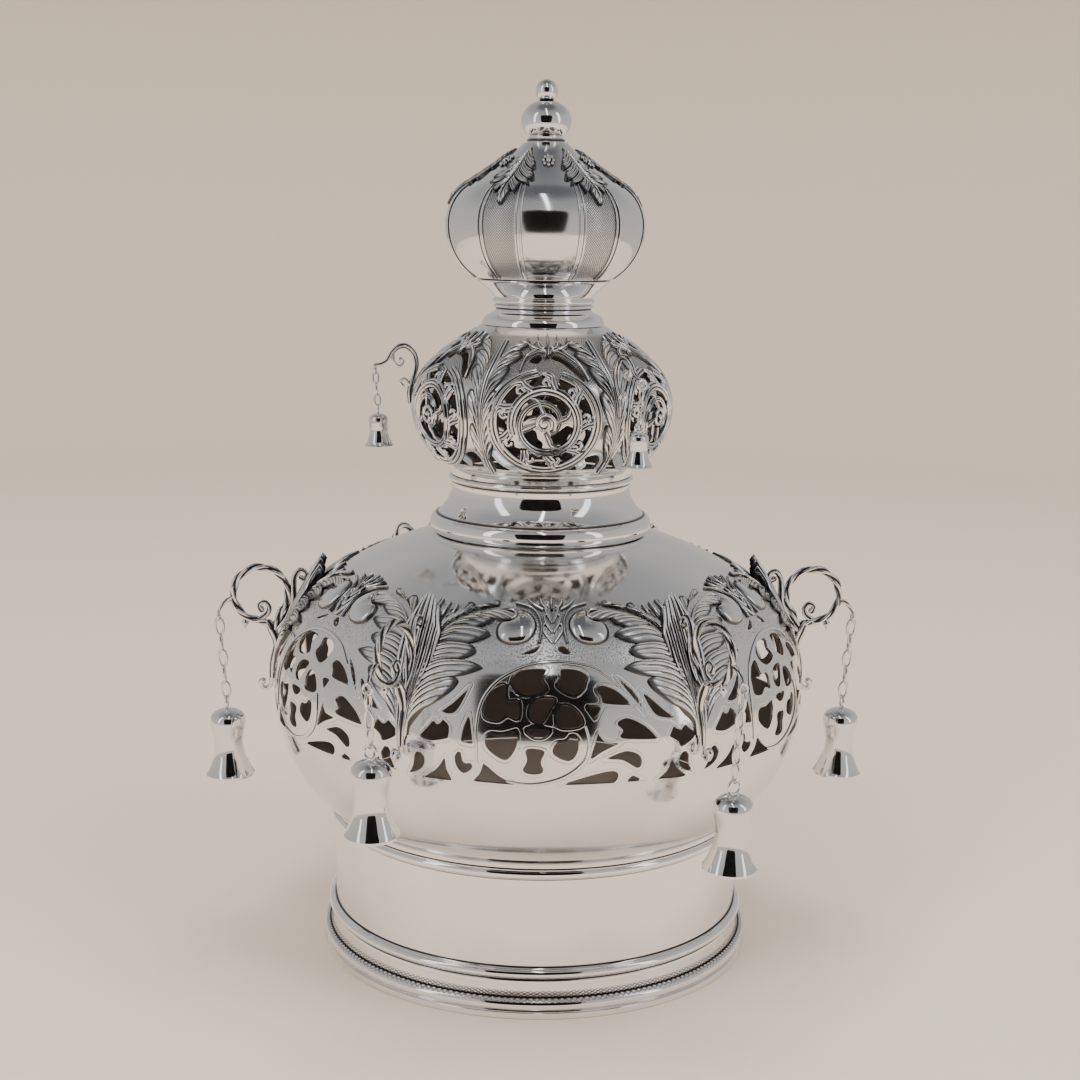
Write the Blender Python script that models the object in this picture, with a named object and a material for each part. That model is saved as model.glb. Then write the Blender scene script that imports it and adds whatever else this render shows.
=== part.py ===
"""A silver crown built in tiers, with pierced walls, cast scroll brackets, chains and bells.

Sizes are in millimetres and turn into metres when a mesh is made. The crown stands on its rim
at the origin with +Z up. An azimuth of 0 degrees is the front, towards -Y, and +90 is +X.
"""
import math

import bmesh
import bpy
from mathutils import Vector
from mathutils.geometry import delaunay_2d_cdt

MM = 0.001
GAP = 0.3
WALL = 1.2

# Azimuths of the places where brackets stand, and of the three that the globe has as well
PLACES = {"front_left": -30, "front_right": 30, "right": 90,
          "back_right": 150, "back_left": -150, "left": -90}
GLOBE_PLACES = ("left", "front_right", "back_right")

# Panels round a wall, and the facets across one panel
PANELS = 6
HALF_PANEL = 180 / PANELS
FACETS = 4
TURNED_STEPS = PANELS * FACETS

# Collar
COLLAR_RADIUS = 85.9
COLLAR_HEIGHT = 59.5
RIM_REACH = 5.1
RIM_RADIUS = COLLAR_RADIUS + RIM_REACH
LIP_HEIGHT = 2.5
RIM_BEAD = 5.4
COVE_REACH = 1.5
COVE_TOP = 14.8
SECOND_BEAD = 4.6
SECOND_BEAD_REACH = 3.0
TOP_BEAD = 4.3
TOP_BEAD_REACH = 2.1

# Lower bowl
BOWL_FOOT_REACH = 0.6
BOWL_FOOT_RADIUS = COLLAR_RADIUS + BOWL_FOOT_REACH
BOWL_NECKING = 1.3
BOWL_RADIUS = 111.4
BOWL_BELLY_HEIGHT = 51.6
BOWL_SHOULDER_ARC = 56.9
BOWL_SHOULDER_ANGLE = 62.0
BOWL_HEIGHT = 116.2
BOWL_PULL = 0.5
BOWL_SEAT = 4.0
BAND_HEIGHT = 37.2
BAND_WIDTH = 78.0
LEAF_ROOT = 26.2
LEAF_START = 22.0
LEAF_STEP = 9.6
LEAF_RELIEF = 1.6
BOSS_RELIEF = 1.8

# Waist
FLANGE_RADIUS = 46.5
FLANGE_HEIGHT = 7.7
WAIST_SHOULDER = 43.4
WAIST_THROAT = 35.4
THROAT_SHARE = 0.62
WAIST_HEIGHT = 24.1
WAIST_LIP_RADIUS = 38.4

# Middle globe
GLOBE_FOOT_RADIUS = 37.5
GLOBE_NECKING = 3.2
GLOBE_RADIUS = 52.9
GLOBE_BELLY_HEIGHT = 28.8
GLOBE_SHOULDER_ARC = 22.5
GLOBE_SHOULDER_ANGLE = 46.0
GLOBE_PULL = 0.5
GLOBE_HEIGHT = 61.1
GLOBE_TOP_RADIUS = 25.6
GLOBE_SEAT = 2.4
GLOBE_RIB = 0.8

# Upper neck
NECK_SHOULDER = 25.0
NECK_GROOVE = 19.6
NECK_RING = 20.9
NECK_HEIGHT = 18.1
NECK_CUP_RADIUS = 27.4
NECK_STEPS = 16

# Onion dome
DOME_RADIUS = 40.4
DOME_BELLY_HEIGHT = 21.7
DOME_SHOULDER_ARC = 18.4
DOME_SHOULDER_ANGLE = 58.0
DOME_PULL = 0.62
DOME_HEIGHT = 54.3
DOME_TOP_RADIUS = 8.9
DOME_RIB = 0.7
DOME_RIB_AZIMUTH = 19.0

# Finial
FINIAL_FOOT = 7.4
FINIAL_BALL = 10.2
FINIAL_NECK = 2.7
FINIAL_NECK_HEIGHT = 16.6
FINIAL_KNOB = 4.5

# Large bracket; its curls are drawn in steps of this size
BRACKET_STEP = 1.0
BRACKET_SPRING = 71.7
SPRING_OFF = 5.0
SCROLL_RADIUS = 11.4
SCROLL_OUT = 4.7
SCROLL_UP = 15.3
STEM_RADIUS = 1.2
STEM_LENGTH = 26.0
SPRING_RADIUS = 2.3
SCROLL_WIRE = 1.15
TENDRIL_WIRE = 0.95
EYE_RADIUS = 1.9
EYE_WIRE = 0.6
RING_SIDES = 4
EYE_OUT = 17.6
EYE_DROP = 9.4

# Small bracket; its curls are drawn in steps of this size
HOOK_STEP = 1.0
HOOK_WIRE = 1.0
HOOK_HEIGHT = 23.0
HOOK_REACH = 15.0

# Chain
LINK_LENGTH = 8.5
LINK_WIDTH = 4.6
LINK_WIRE = 0.6
LINK_BITE = 0.2
LINKS = 5
SHORT_LINKS = 3
SHORT_CHAIN = "front_left"
CHAIN_LEAN = 4.5
SMALL_LINK = 0.68
SMALL_LINKS = 3

# Bell
BELL_HEIGHT = 29.0
BELL_MOUTH = 10.3
BELL_CROWN = 7.6
BELL_WAIST = 6.2
BELL_WALL = 0.8
BELL_RING = 2.7
BELL_STEPS = 7
SMALL_BELL_STEPS = 6
BELL_LEAN = 2.0
SMALL_BELL_HEIGHT = 13.4
SMALL_BELL_MOUTH = 5.85
SMALL_BELL_CROWN = 3.95
SMALL_BELL_WALL = 0.7
SMALL_BELL_RING = 1.8

# Heights at which the tiers stand, each resting on the one below with the gap between them
BOWL_Z = COLLAR_HEIGHT + GAP
WAIST_Z = BOWL_Z + BOWL_HEIGHT + GAP
GLOBE_Z = WAIST_Z + WAIST_HEIGHT + GAP
NECK_Z = GLOBE_Z + GLOBE_HEIGHT + GAP
DOME_Z = NECK_Z + NECK_HEIGHT + GAP
FINIAL_Z = DOME_Z + DOME_HEIGHT + GAP


# Outlines, as lists of radius and height

def arc(centre, radius, start, end, steps):
    """Points on a circle between two angles in degrees, counted from straight out"""
    angles = [math.radians(start + (end - start) * i / steps) for i in range(steps + 1)]
    return [(centre[0] + radius * math.cos(t), centre[1] + radius * math.sin(t)) for t in angles]


def bend(start, middle, end, steps):
    """A quadratic curve from start to end, drawn towards middle, without its start"""
    points = []
    for i in range(1, steps + 1):
        t = i / steps
        weights = ((1 - t) ** 2, 2 * t * (1 - t), t ** 2)
        points.append(tuple(sum(w * p[k] for w, p in zip(weights, (start, middle, end)))
                            for k in (0, 1)))
    return points


def bead(radius, low, high, root, steps):
    """A rounded ring that stands out from root to radius between two heights"""
    half = (high - low) / 2
    angles = [math.radians(-90 + 180 * i / steps) for i in range(steps + 1)]
    return [(root + (radius - root) * math.cos(t), low + half + half * math.sin(t))
            for t in angles]


def bulge(foot, belly, shoulder_arc, shoulder_angle, top, steps, pull):
    """The side of a bellied vessel: an arc up to the belly, a shoulder arc, a run to the top"""
    rise = belly[1] - foot[1]
    swell = belly[0] - foot[0]
    lower = (swell ** 2 + rise ** 2) / (2 * swell)
    start = -math.degrees(math.asin(min(1.0, rise / lower)))
    points = arc((belly[0] - lower, belly[1]), lower, start, 0, steps[0])
    shoulder = arc((belly[0] - shoulder_arc, belly[1]), shoulder_arc, 0, shoulder_angle, steps[1])
    points += shoulder[1:]
    turn = math.radians(shoulder_angle)
    run = pull * math.hypot(top[0] - points[-1][0], top[1] - points[-1][1])
    middle = (points[-1][0] - run * math.sin(turn), points[-1][1] + run * math.cos(turn))
    return points + bend(points[-1], middle, top, steps[2])


class Outline:
    """A turned outline that is read by the distance along it"""

    def __init__(self, points):
        self.points = points
        self.marks = [0.0]
        for here, there in zip(points, points[1:]):
            self.marks.append(self.marks[-1] + math.dist(here, there))

    def at(self, distance):
        """Radius and height at a distance from the first point"""
        distance = min(max(distance, 0.0), self.marks[-1])
        for i in range(len(self.points) - 1):
            if distance <= self.marks[i + 1] or i == len(self.points) - 2:
                share = (distance - self.marks[i]) / (self.marks[i + 1] - self.marks[i])
                here, there = self.points[i], self.points[i + 1]
                return (here[0] + share * (there[0] - here[0]), here[1] + share * (there[1] - here[1]))

    def out(self, distance, reach=0.5):
        """The direction that points out of the wall"""
        low = self.at(distance - reach)
        high = self.at(distance + reach)
        length = math.dist(low, high)
        return ((high[1] - low[1]) / length, (low[0] - high[0]) / length)

    def lifted(self, distance, height):
        """A point that stands off the outline by height"""
        radius, level = self.at(distance)
        across, up = self.out(distance)
        return (radius + across * height, level + up * height)

    def distance_at(self, height):
        """The first distance at which the outline is as high as this"""
        for i, (here, there) in enumerate(zip(self.points, self.points[1:])):
            if here[1] <= height <= there[1] and there[1] > here[1]:
                share = (height - here[1]) / (there[1] - here[1])
                return self.marks[i] + share * (self.marks[i + 1] - self.marks[i])
        return self.marks[-1]


def spot(radius, height, azimuth):
    """A place on the crown from its radius, height and azimuth"""
    turn = math.radians(azimuth)
    return Vector((radius * math.sin(turn), -radius * math.cos(turn), height))


# Meshes

SILVER = bpy.data.materials.new("polished_silver")


def set_silver():
    """The bright, slightly warm metal that every piece is made of"""
    SILVER.use_nodes = True
    shader = SILVER.node_tree.nodes["Principled BSDF"]
    shader.inputs["Base Color"].default_value = (0.83, 0.81, 0.78, 1)
    shader.inputs["Metallic"].default_value = 1.0
    shader.inputs["Roughness"].default_value = 0.15
    SILVER.diffuse_color = (0.83, 0.81, 0.78, 1)


def mesh_of(name, points, faces):
    """A closed mesh in metres from points in millimetres, with its faces turned outwards"""
    shape = bmesh.new()
    verts = [shape.verts.new(Vector(p) * MM) for p in points]
    for face in faces:
        shape.faces.new([verts[i] for i in face])
    bmesh.ops.recalc_face_normals(shape, faces=shape.faces)
    bmesh.ops.triangulate(shape, faces=shape.faces)
    mesh = bpy.data.meshes.new(name)
    shape.to_mesh(mesh)
    shape.free()
    mesh.materials.append(SILVER)
    mesh.shade_smooth()
    mesh.set_sharp_from_angle(angle=math.radians(35))
    return mesh


def place(name, mesh, turn=(0, 0, 0), at=(0, 0, 0)):
    """A named object for one piece"""
    piece = bpy.data.objects.new(name, mesh)
    piece.location = Vector(at) * MM
    piece.rotation_euler = [math.radians(t) for t in turn]
    bpy.context.scene.collection.objects.link(piece)
    return piece


def fused(name, meshes):
    """One mesh from several closed meshes that run into each other"""
    body = place(name, meshes[0])
    for mesh in meshes[1:]:
        other = place(name + "_part", mesh)
        cut = body.modifiers.new("union", "BOOLEAN")
        cut.operation = "UNION"
        cut.object = other
        cut.use_self = True
        result = bpy.data.meshes.new_from_object(body.evaluated_get(bpy.context.evaluated_depsgraph_get()))
        body.modifiers.clear()
        body.data = result
        bpy.data.objects.remove(other)
    mesh = body.data
    bpy.data.objects.remove(body)
    return mesh


def turned(name, outline, azimuths, relief=None):
    """A body turned round the axis from a closed outline; relief lifts a point by its azimuth"""
    points = []
    rings = []
    for index, (radius, height) in enumerate(outline):
        if radius < 1e-6:
            rings.append([len(points)] * len(azimuths))
            points.append((0, 0, height))
            continue
        rings.append(list(range(len(points), len(points) + len(azimuths))))
        for azimuth in azimuths:
            lift = relief(index, azimuth) if relief else 0.0
            points.append(spot(radius + lift, height, azimuth))
    faces = []
    for low, high in zip(rings, rings[1:] + rings[:1]):
        for i in range(len(azimuths)):
            j = (i + 1) % len(azimuths)
            corners = [low[i], low[j], high[j], high[i]]
            corners = [c for k, c in enumerate(corners) if c != corners[k - 1]]
            if len(set(corners)) > 2:
                faces.append(corners)
    return mesh_of(name, points, faces)


def even_turns(steps):
    """Azimuths spread evenly round the crown, one of them on a bracket's place"""
    return [HALF_PANEL + 360 * i / steps for i in range(steps)]


def wire(name, path, radii, sides):
    """A rod along a path of radius and height in the plane that runs out from the axis at the front"""
    points = []
    count = len(path)
    for i, here in enumerate(path):
        before = path[i - 1] if i else here
        after = path[i + 1] if i < count - 1 else here
        along = Vector((after[0] - before[0], after[1] - before[1])).normalized()
        across = Vector((along[1], -along[0]))
        for k in range(sides):
            turn = 2 * math.pi * (k + 0.5) / sides
            side = across * math.cos(turn) * radii[i]
            points.append((math.sin(turn) * radii[i], -(here[0] + side[0]), here[1] + side[1]))
    faces = []
    for i in range(count - 1):
        for k in range(sides):
            m = (k + 1) % sides
            faces.append([i * sides + k, i * sides + m, (i + 1) * sides + m, (i + 1) * sides + k])
    faces.append(list(range(sides)))
    faces.append([(count - 1) * sides + k for k in range(sides)])
    return mesh_of(name, points, faces)


def smooth(points, count):
    """Evenly spaced points on the curve that passes through the given ones"""
    fine = []
    ends = [points[0]] + list(points) + [points[-1]]
    for a, b, c, d in zip(ends, ends[1:], ends[2:], ends[3:]):
        for i in range(12):
            t = i / 12
            fine.append(tuple(0.5 * (2 * b[k] + (c[k] - a[k]) * t
                                     + (2 * a[k] - 5 * b[k] + 4 * c[k] - d[k]) * t ** 2
                                     + (3 * b[k] - a[k] - 3 * c[k] + d[k]) * t ** 3) for k in (0, 1)))
    fine.append(tuple(points[-1]))
    track = Outline(fine)
    return [track.at(track.marks[-1] * i / (count - 1)) for i in range(count)]


def taper(first, middle, last, count):
    """Radii that go from first through middle to last"""
    radii = []
    for i in range(count):
        share = 2 * i / (count - 1)
        radii.append(first + (middle - first) * share if share < 1
                     else middle + (last - middle) * (share - 1))
    return radii


# Pierced walls

def inside(point, loop):
    """Whether a point of the flat panel lies in a loop"""
    crossings = 0
    for (x0, y0), (x1, y1) in zip(loop, loop[1:] + loop[:1]):
        if (y0 > point[1]) != (y1 > point[1]):
            if point[0] < x0 + (point[1] - y0) * (x1 - x0) / (y1 - y0):
                crossings += 1
    return crossings % 2 == 1


def panel_triangles(points, lines, holes, across):
    """Triangles over one flat panel of azimuths and distances, open at its holes"""
    edges = []
    flat = []
    for azimuth, distance in points:
        flat.append(Vector((azimuth * across, distance)))
    for line in lines + [hole + hole[:1] for hole in holes]:
        for here, there in zip(line, line[1:]):
            edges.append((points.index(here), points.index(there)))
    verts, _, faces, _, _, _ = delaunay_2d_cdt(flat, edges, [], 0, 1e-5)
    corners = [(round(v[0] / across, 3), round(v[1], 3)) for v in verts]
    triangles = []
    for face in faces:
        middle = tuple(sum(corners[i][k] for i in face) / 3 for k in (0, 1))
        if not any(inside(middle, hole) for hole in holes):
            triangles.append([corners[i] for i in face])
    return triangles


def pierced(name, outline, rows, band_rows, holes, carving, ribs):
    """A wall whose panels have openings and carving; band_rows are met at the panel's sides only"""
    turns = [round(-HALF_PANEL + 2 * HALF_PANEL * i / FACETS, 3) for i in range(FACETS + 1)]
    rows = [round(row, 3) for row in rows]
    grid = [(turn, row) for row in rows for turn in turns]
    grid += [(side, round(row, 3)) for row in band_rows for side in (turns[0], turns[-1])]
    holes = [[(round(a, 3), round(d, 3)) for a, d in hole] for hole in holes]
    lift = {(side, round(row, 3)): ribs for row in band_rows for side in (turns[0], turns[-1])}
    lines = []
    for line in carving:
        lines.append([(round(a, 3), round(d, 3)) for a, d, _ in line])
        lift.update({(round(a, 3), round(d, 3)): height for a, d, height in line})
    across = math.radians(max(r for r, _ in outline.points))
    shared = grid + [p for hole in holes for p in hole]
    carved = list(dict.fromkeys(shared + [p for line in lines for p in line]))
    faces = {0: panel_triangles(carved, lines, holes, across),
             1: panel_triangles(list(dict.fromkeys(shared)), [], holes, across)}
    rims = [hole + hole[:1] for hole in holes]
    rims += [[(turn, row) for turn in turns] for row in (rows[0], rows[-1])]
    points = []
    known = {}

    def corner(side, panel, place_on):
        azimuth, distance = place_on
        key = (side, round((2 * HALF_PANEL * panel + azimuth) % 360, 2), distance)
        if key not in known:
            height = -WALL if side else lift.get(place_on, 0.0)
            known[key] = len(points)
            points.append(spot(*outline.lifted(distance, height), 2 * HALF_PANEL * panel + azimuth))
        return known[key]

    quads = []
    for panel in range(PANELS):
        for side, triangles in faces.items():
            quads += [[corner(side, panel, p) for p in triangle] for triangle in triangles]
        for rim in rims:
            for here, there in zip(rim, rim[1:]):
                quads.append([corner(0, panel, here), corner(0, panel, there),
                              corner(1, panel, there), corner(1, panel, here)])
    return mesh_of(name, points, quads)


def swirl(centre, size, inner, outer, count, turn, twist, openness):
    """Openings set round a centre like the blades of a wheel, within an oval of half-sizes"""
    holes = []
    for i in range(count):
        middle = turn + 360 * i / count
        half = openness * 180 / count
        blade = ((inner, middle - half * 0.6), (outer, middle - half + twist),
                 (outer, middle + half + twist), (inner, middle + half * 0.6))
        holes.append([(centre[0] + size[0] * reach * math.cos(math.radians(angle)),
                       centre[1] + size[1] * reach * math.sin(math.radians(angle)))
                      for reach, angle in blade])
    return holes


def mirrored(loops):
    """Loops and their reflections in the middle of the panel"""
    return loops + [[(-point[0],) + tuple(point[1:]) for point in reversed(loop)] for loop in loops]


# Tiers

def collar():
    """The upright collar with its beaded rim and the bead under the bowl"""
    bead_top = LIP_HEIGHT + RIM_BEAD
    second_top = COVE_TOP + SECOND_BEAD
    top_start = COLLAR_HEIGHT - TOP_BEAD
    seat = COLLAR_RADIUS + TOP_BEAD_REACH - TOP_BEAD / 2
    outline = [(COLLAR_RADIUS - WALL, 0), (RIM_RADIUS, 0)]
    outline += bead(RIM_RADIUS, LIP_HEIGHT, bead_top, RIM_RADIUS - RIM_BEAD / 2, 3)[1:]
    outline += [(COLLAR_RADIUS + COVE_REACH, COVE_TOP)]
    outline += bead(COLLAR_RADIUS + SECOND_BEAD_REACH, COVE_TOP, second_top, COLLAR_RADIUS, 3)[1:]
    outline += [(COLLAR_RADIUS, top_start)]
    outline += bead(COLLAR_RADIUS + TOP_BEAD_REACH, top_start, COLLAR_HEIGHT, seat, 3)[1:]
    outline += [(COLLAR_RADIUS - WALL, COLLAR_HEIGHT)]
    place("base_collar", turned("base_collar", outline, even_turns(TURNED_STEPS)))


def bowl_outline(steps=(4, 4, 2)):
    """The bowl's side, from its short necking to the flat seat of the waist"""
    foot = (BOWL_FOOT_RADIUS, BOWL_Z + BOWL_NECKING)
    belly = (BOWL_RADIUS, BOWL_Z + BOWL_BELLY_HEIGHT)
    top = (FLANGE_RADIUS, BOWL_Z + BOWL_HEIGHT)
    side = bulge(foot, belly, BOWL_SHOULDER_ARC, BOWL_SHOULDER_ANGLE, top, steps, BOWL_PULL)
    return Outline([(BOWL_FOOT_RADIUS, BOWL_Z)] + side + [(top[0] - BOWL_SEAT, top[1])])


def acanthus(root, tips, start, step, relief):
    """Ridges of a leaf that spreads from a root line beside a bracket, and the valleys between"""
    roots = [(root, start + step * i, 0.0) for i in range(len(tips) + 2)]
    lines = [roots]
    ridges = []
    for (azimuth, distance), base in zip(tips, roots[1:]):
        middle = (root + 0.5 * (azimuth - root), base[1] + 0.45 * (distance - base[1]), relief)
        ridges.append([base, middle, (azimuth, distance, relief * 0.3)])
    for low, high in zip(ridges, ridges[1:]):
        lines.append([tuple((a + b) / 2 for a, b in zip(low[2][:2], high[1][:2])) + (0.0,)])
    return lines + ridges


def lower_bowl():
    """The wide bowl with its pierced and chased band"""
    outline = bowl_outline()
    start = outline.distance_at(BOWL_Z + BAND_HEIGHT)
    holes = swirl((-1, 29), (13, 21), 0.48, 0.95, 5, 90, 14, 0.72)
    holes.append([(-5.2, 25), (-0.4, 26.5), (2.2, 33.5), (-3, 34)])
    holes += mirrored([[(3, 3), (14.5, 4), (8.5, 9.5)],
                       [(26.6, 4.5), (29, 6.5), (28, 13), (25.3, 11)],
                       [(20, 20), (24.4, 16.5), (26.4, 20.5), (23.5, 27)],
                       [(16, 25), (22, 30), (16.5, 39)]])
    holes = [[(azimuth, start + distance) for azimuth, distance in hole] for hole in holes]
    tips = [(azimuth, start + distance) for azimuth, distance in ((17.5, 44), (13, 53), (13, 62), (11, 72))]
    leaves = acanthus(LEAF_ROOT, tips, start + LEAF_START, LEAF_STEP, LEAF_RELIEF)
    boss = [(3.8, 62, 0.0), (6.5, 58.5, 0.0), (9.2, 64, 0.0), (6.4, 70, 0.0), (3.8, 62, 0.0)]
    boss = [(a, start + d, h) for a, d, h in boss]
    carving = mirrored(leaves + [boss, [(6.5, start + 63.5, BOSS_RELIEF)]])
    plain = [0, BOWL_NECKING + 18, start]
    band = [start + BAND_WIDTH * share for share in (0.25, 0.5, 0.75)]
    end = outline.marks[-1]
    plain += [start + BAND_WIDTH, end - BOWL_SEAT, end]
    place("lower_bowl", pierced("lower_bowl", outline, plain, band, holes, carving, 0.0))


def waist():
    """The hollow waist between the bowl and the globe, with its rounded flange"""
    base = WAIST_Z
    top = base + WAIST_HEIGHT
    outer = bead(FLANGE_RADIUS, base, base + FLANGE_HEIGHT, WAIST_SHOULDER, 3)
    throat = (WAIST_THROAT, base + THROAT_SHARE * WAIST_HEIGHT)
    outer += bend(outer[-1], throat, (WAIST_LIP_RADIUS - 0.6, top - 2.2), 3)
    outer += [(WAIST_LIP_RADIUS, top)]
    inner = [(WAIST_LIP_RADIUS - 2 * WALL, top), (WAIST_THROAT, throat[1]),
             (WAIST_SHOULDER - WALL, base + FLANGE_HEIGHT), (WAIST_SHOULDER - WALL, base)]
    place("waist", turned("waist", outer + inner, even_turns(TURNED_STEPS)))


def globe_outline(steps=(4, 3, 2)):
    """The globe's side, from its upright lip to the flat seat of the neck"""
    foot = (GLOBE_FOOT_RADIUS + 1, GLOBE_Z + GLOBE_NECKING)
    belly = (GLOBE_RADIUS, GLOBE_Z + GLOBE_BELLY_HEIGHT)
    top = (GLOBE_TOP_RADIUS, GLOBE_Z + GLOBE_HEIGHT)
    side = bulge(foot, belly, GLOBE_SHOULDER_ARC, GLOBE_SHOULDER_ANGLE, top, steps, GLOBE_PULL)
    return Outline([(GLOBE_FOOT_RADIUS, GLOBE_Z)] + side + [(top[0] - GLOBE_SEAT, top[1])])


def middle_globe():
    """The pierced globe: a wheel of scrolls in each panel, with ribs between the panels"""
    outline = globe_outline()
    start = outline.distance_at(GLOBE_Z + GLOBE_NECKING)
    centre = (0, start + 28)
    holes = swirl(centre, (22, 20), 0.58, 0.95, 5, 90, 18, 0.76)
    holes += swirl(centre, (22, 20), 0.14, 0.46, 2, 60, 30, 0.5)
    holes += mirrored([[(17, start + 5.5), (26, start + 6.5), (23, start + 13.5)]])
    holes.append([(-14, start + 51.5), (14, start + 51.5), (0, start + 57)])
    band = [start + distance for distance in (15, 29, 44)]
    end = outline.marks[-1]
    plain = [0, start, start + 60, end - GLOBE_SEAT, end]
    place("middle_globe", pierced("middle_globe", outline, plain, band, holes, [], GLOBE_RIB))


def upper_neck():
    """The grooved neck that spreads into a cup under the dome"""
    base = NECK_Z
    top = base + NECK_HEIGHT
    outer = [(NECK_SHOULDER, base), (NECK_SHOULDER - 0.7, base + 3)]
    outer += [(NECK_GROOVE, base + 6.2), (NECK_GROOVE, base + 8)]
    outer += [(NECK_RING, base + 9), (NECK_RING, base + 11)]
    outer += bend((NECK_RING, base + 11), (NECK_RING + 0.4, top - 3), (NECK_CUP_RADIUS, top), 2)
    inner = [(NECK_CUP_RADIUS - 1.6 * WALL, top), (NECK_GROOVE - WALL, base + 10),
             (NECK_GROOVE - WALL, base + 5), (NECK_SHOULDER - 1.6 * WALL, base)]
    place("upper_neck", turned("upper_neck", outer + inner, even_turns(NECK_STEPS)))


def dome_outline(wall=0.0, steps=(3, 3, 2)):
    """The dome's ogee side, or the line inside it by a wall"""
    foot = (NECK_CUP_RADIUS - wall, DOME_Z)
    belly = (DOME_RADIUS - wall, DOME_Z + DOME_BELLY_HEIGHT)
    top = (DOME_TOP_RADIUS - wall, DOME_Z + DOME_HEIGHT - wall)
    return bulge(foot, belly, DOME_SHOULDER_ARC - wall, DOME_SHOULDER_ANGLE, top, steps, DOME_PULL)


def onion_dome():
    """The onion dome with the ribs that edge its panels and leaves that hang from its tip"""
    outer = dome_outline()
    inner = dome_outline(WALL, (1, 2, 1))
    outline = outer + [(0, DOME_Z + DOME_HEIGHT), (0, DOME_Z + DOME_HEIGHT - WALL)] + inner[::-1]
    offsets = (-HALF_PANEL, -DOME_RIB_AZIMUTH, 0, DOME_RIB_AZIMUTH)
    turns = [2 * HALF_PANEL * panel + offset for panel in range(PANELS) for offset in offsets]

    def relief(index, azimuth):
        offset = round((azimuth + HALF_PANEL) % (2 * HALF_PANEL) - HALF_PANEL, 3)
        if 0 < index < 5 and abs(offset) == DOME_RIB_AZIMUTH:
            return DOME_RIB
        if 4 < index < len(outer) - 1 and abs(offset) == HALF_PANEL:
            return 2 * DOME_RIB
        return 0.0

    place("onion_dome", turned("onion_dome", outline, turns, relief))


def finial():
    """The ball and the knob that end the crown, sealed and so modelled as one solid"""
    half = FINIAL_NECK_HEIGHT / 2
    outline = [(0, FINIAL_Z), (FINIAL_FOOT, FINIAL_Z)]
    outline += [(FINIAL_BALL * math.cos(math.radians(a)), FINIAL_Z + half + half * math.sin(math.radians(a)))
                for a in (-28, 0, 28, 52)]
    centre = FINIAL_Z + FINIAL_NECK_HEIGHT + FINIAL_KNOB * 0.8
    outline += [(FINIAL_NECK, FINIAL_Z + FINIAL_NECK_HEIGHT)]
    outline += arc((0, centre), FINIAL_KNOB, -20, 60, 2) + [(0, centre + FINIAL_KNOB)]
    place("finial", turned("finial", outline, even_turns(12)))


# Brackets, all drawn at the front and then turned to their places

def spring_point():
    """Where the large bracket's scroll springs from its stem, off the bowl's side"""
    outline = bowl_outline()
    return outline.lifted(outline.distance_at(BOWL_Z + BRACKET_SPRING), SPRING_OFF)


def eye_centre():
    """The middle of the ring at the end of the large bracket"""
    out, up = spring_point()
    return (out + SCROLL_OUT + EYE_OUT, up + SCROLL_UP - EYE_DROP)


def drawn(origin, step, *offsets):
    """Points at offsets from an origin, counted in steps"""
    return [(origin[0] + step * across, origin[1] + step * up) for across, up in offsets]


def round_faces(count):
    """The faces of a closed loop of three-sided wire"""
    return [[i * 3 + k, i * 3 + (k + 1) % 3, (i + 1) % count * 3 + (k + 1) % 3, (i + 1) % count * 3 + k]
            for i in range(count) for k in range(3)]


def ring(centre, radius, rod):
    """A square ring of three-sided wire that faces outwards, its flat inside bearing the load"""
    points = []
    for i in range(RING_SIDES):
        turn = 2 * math.pi * (i + 0.5) / RING_SIDES
        for k in range(3):
            side = 2 * math.pi * k / 3
            reach = (radius + rod * math.cos(side)) / math.cos(math.pi / RING_SIDES)
            points.append((reach * math.sin(turn), -centre[0] + rod * math.sin(side),
                           centre[1] + reach * math.cos(turn)))
    faces = round_faces(RING_SIDES)
    return mesh_of("ring", points, faces)


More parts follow.
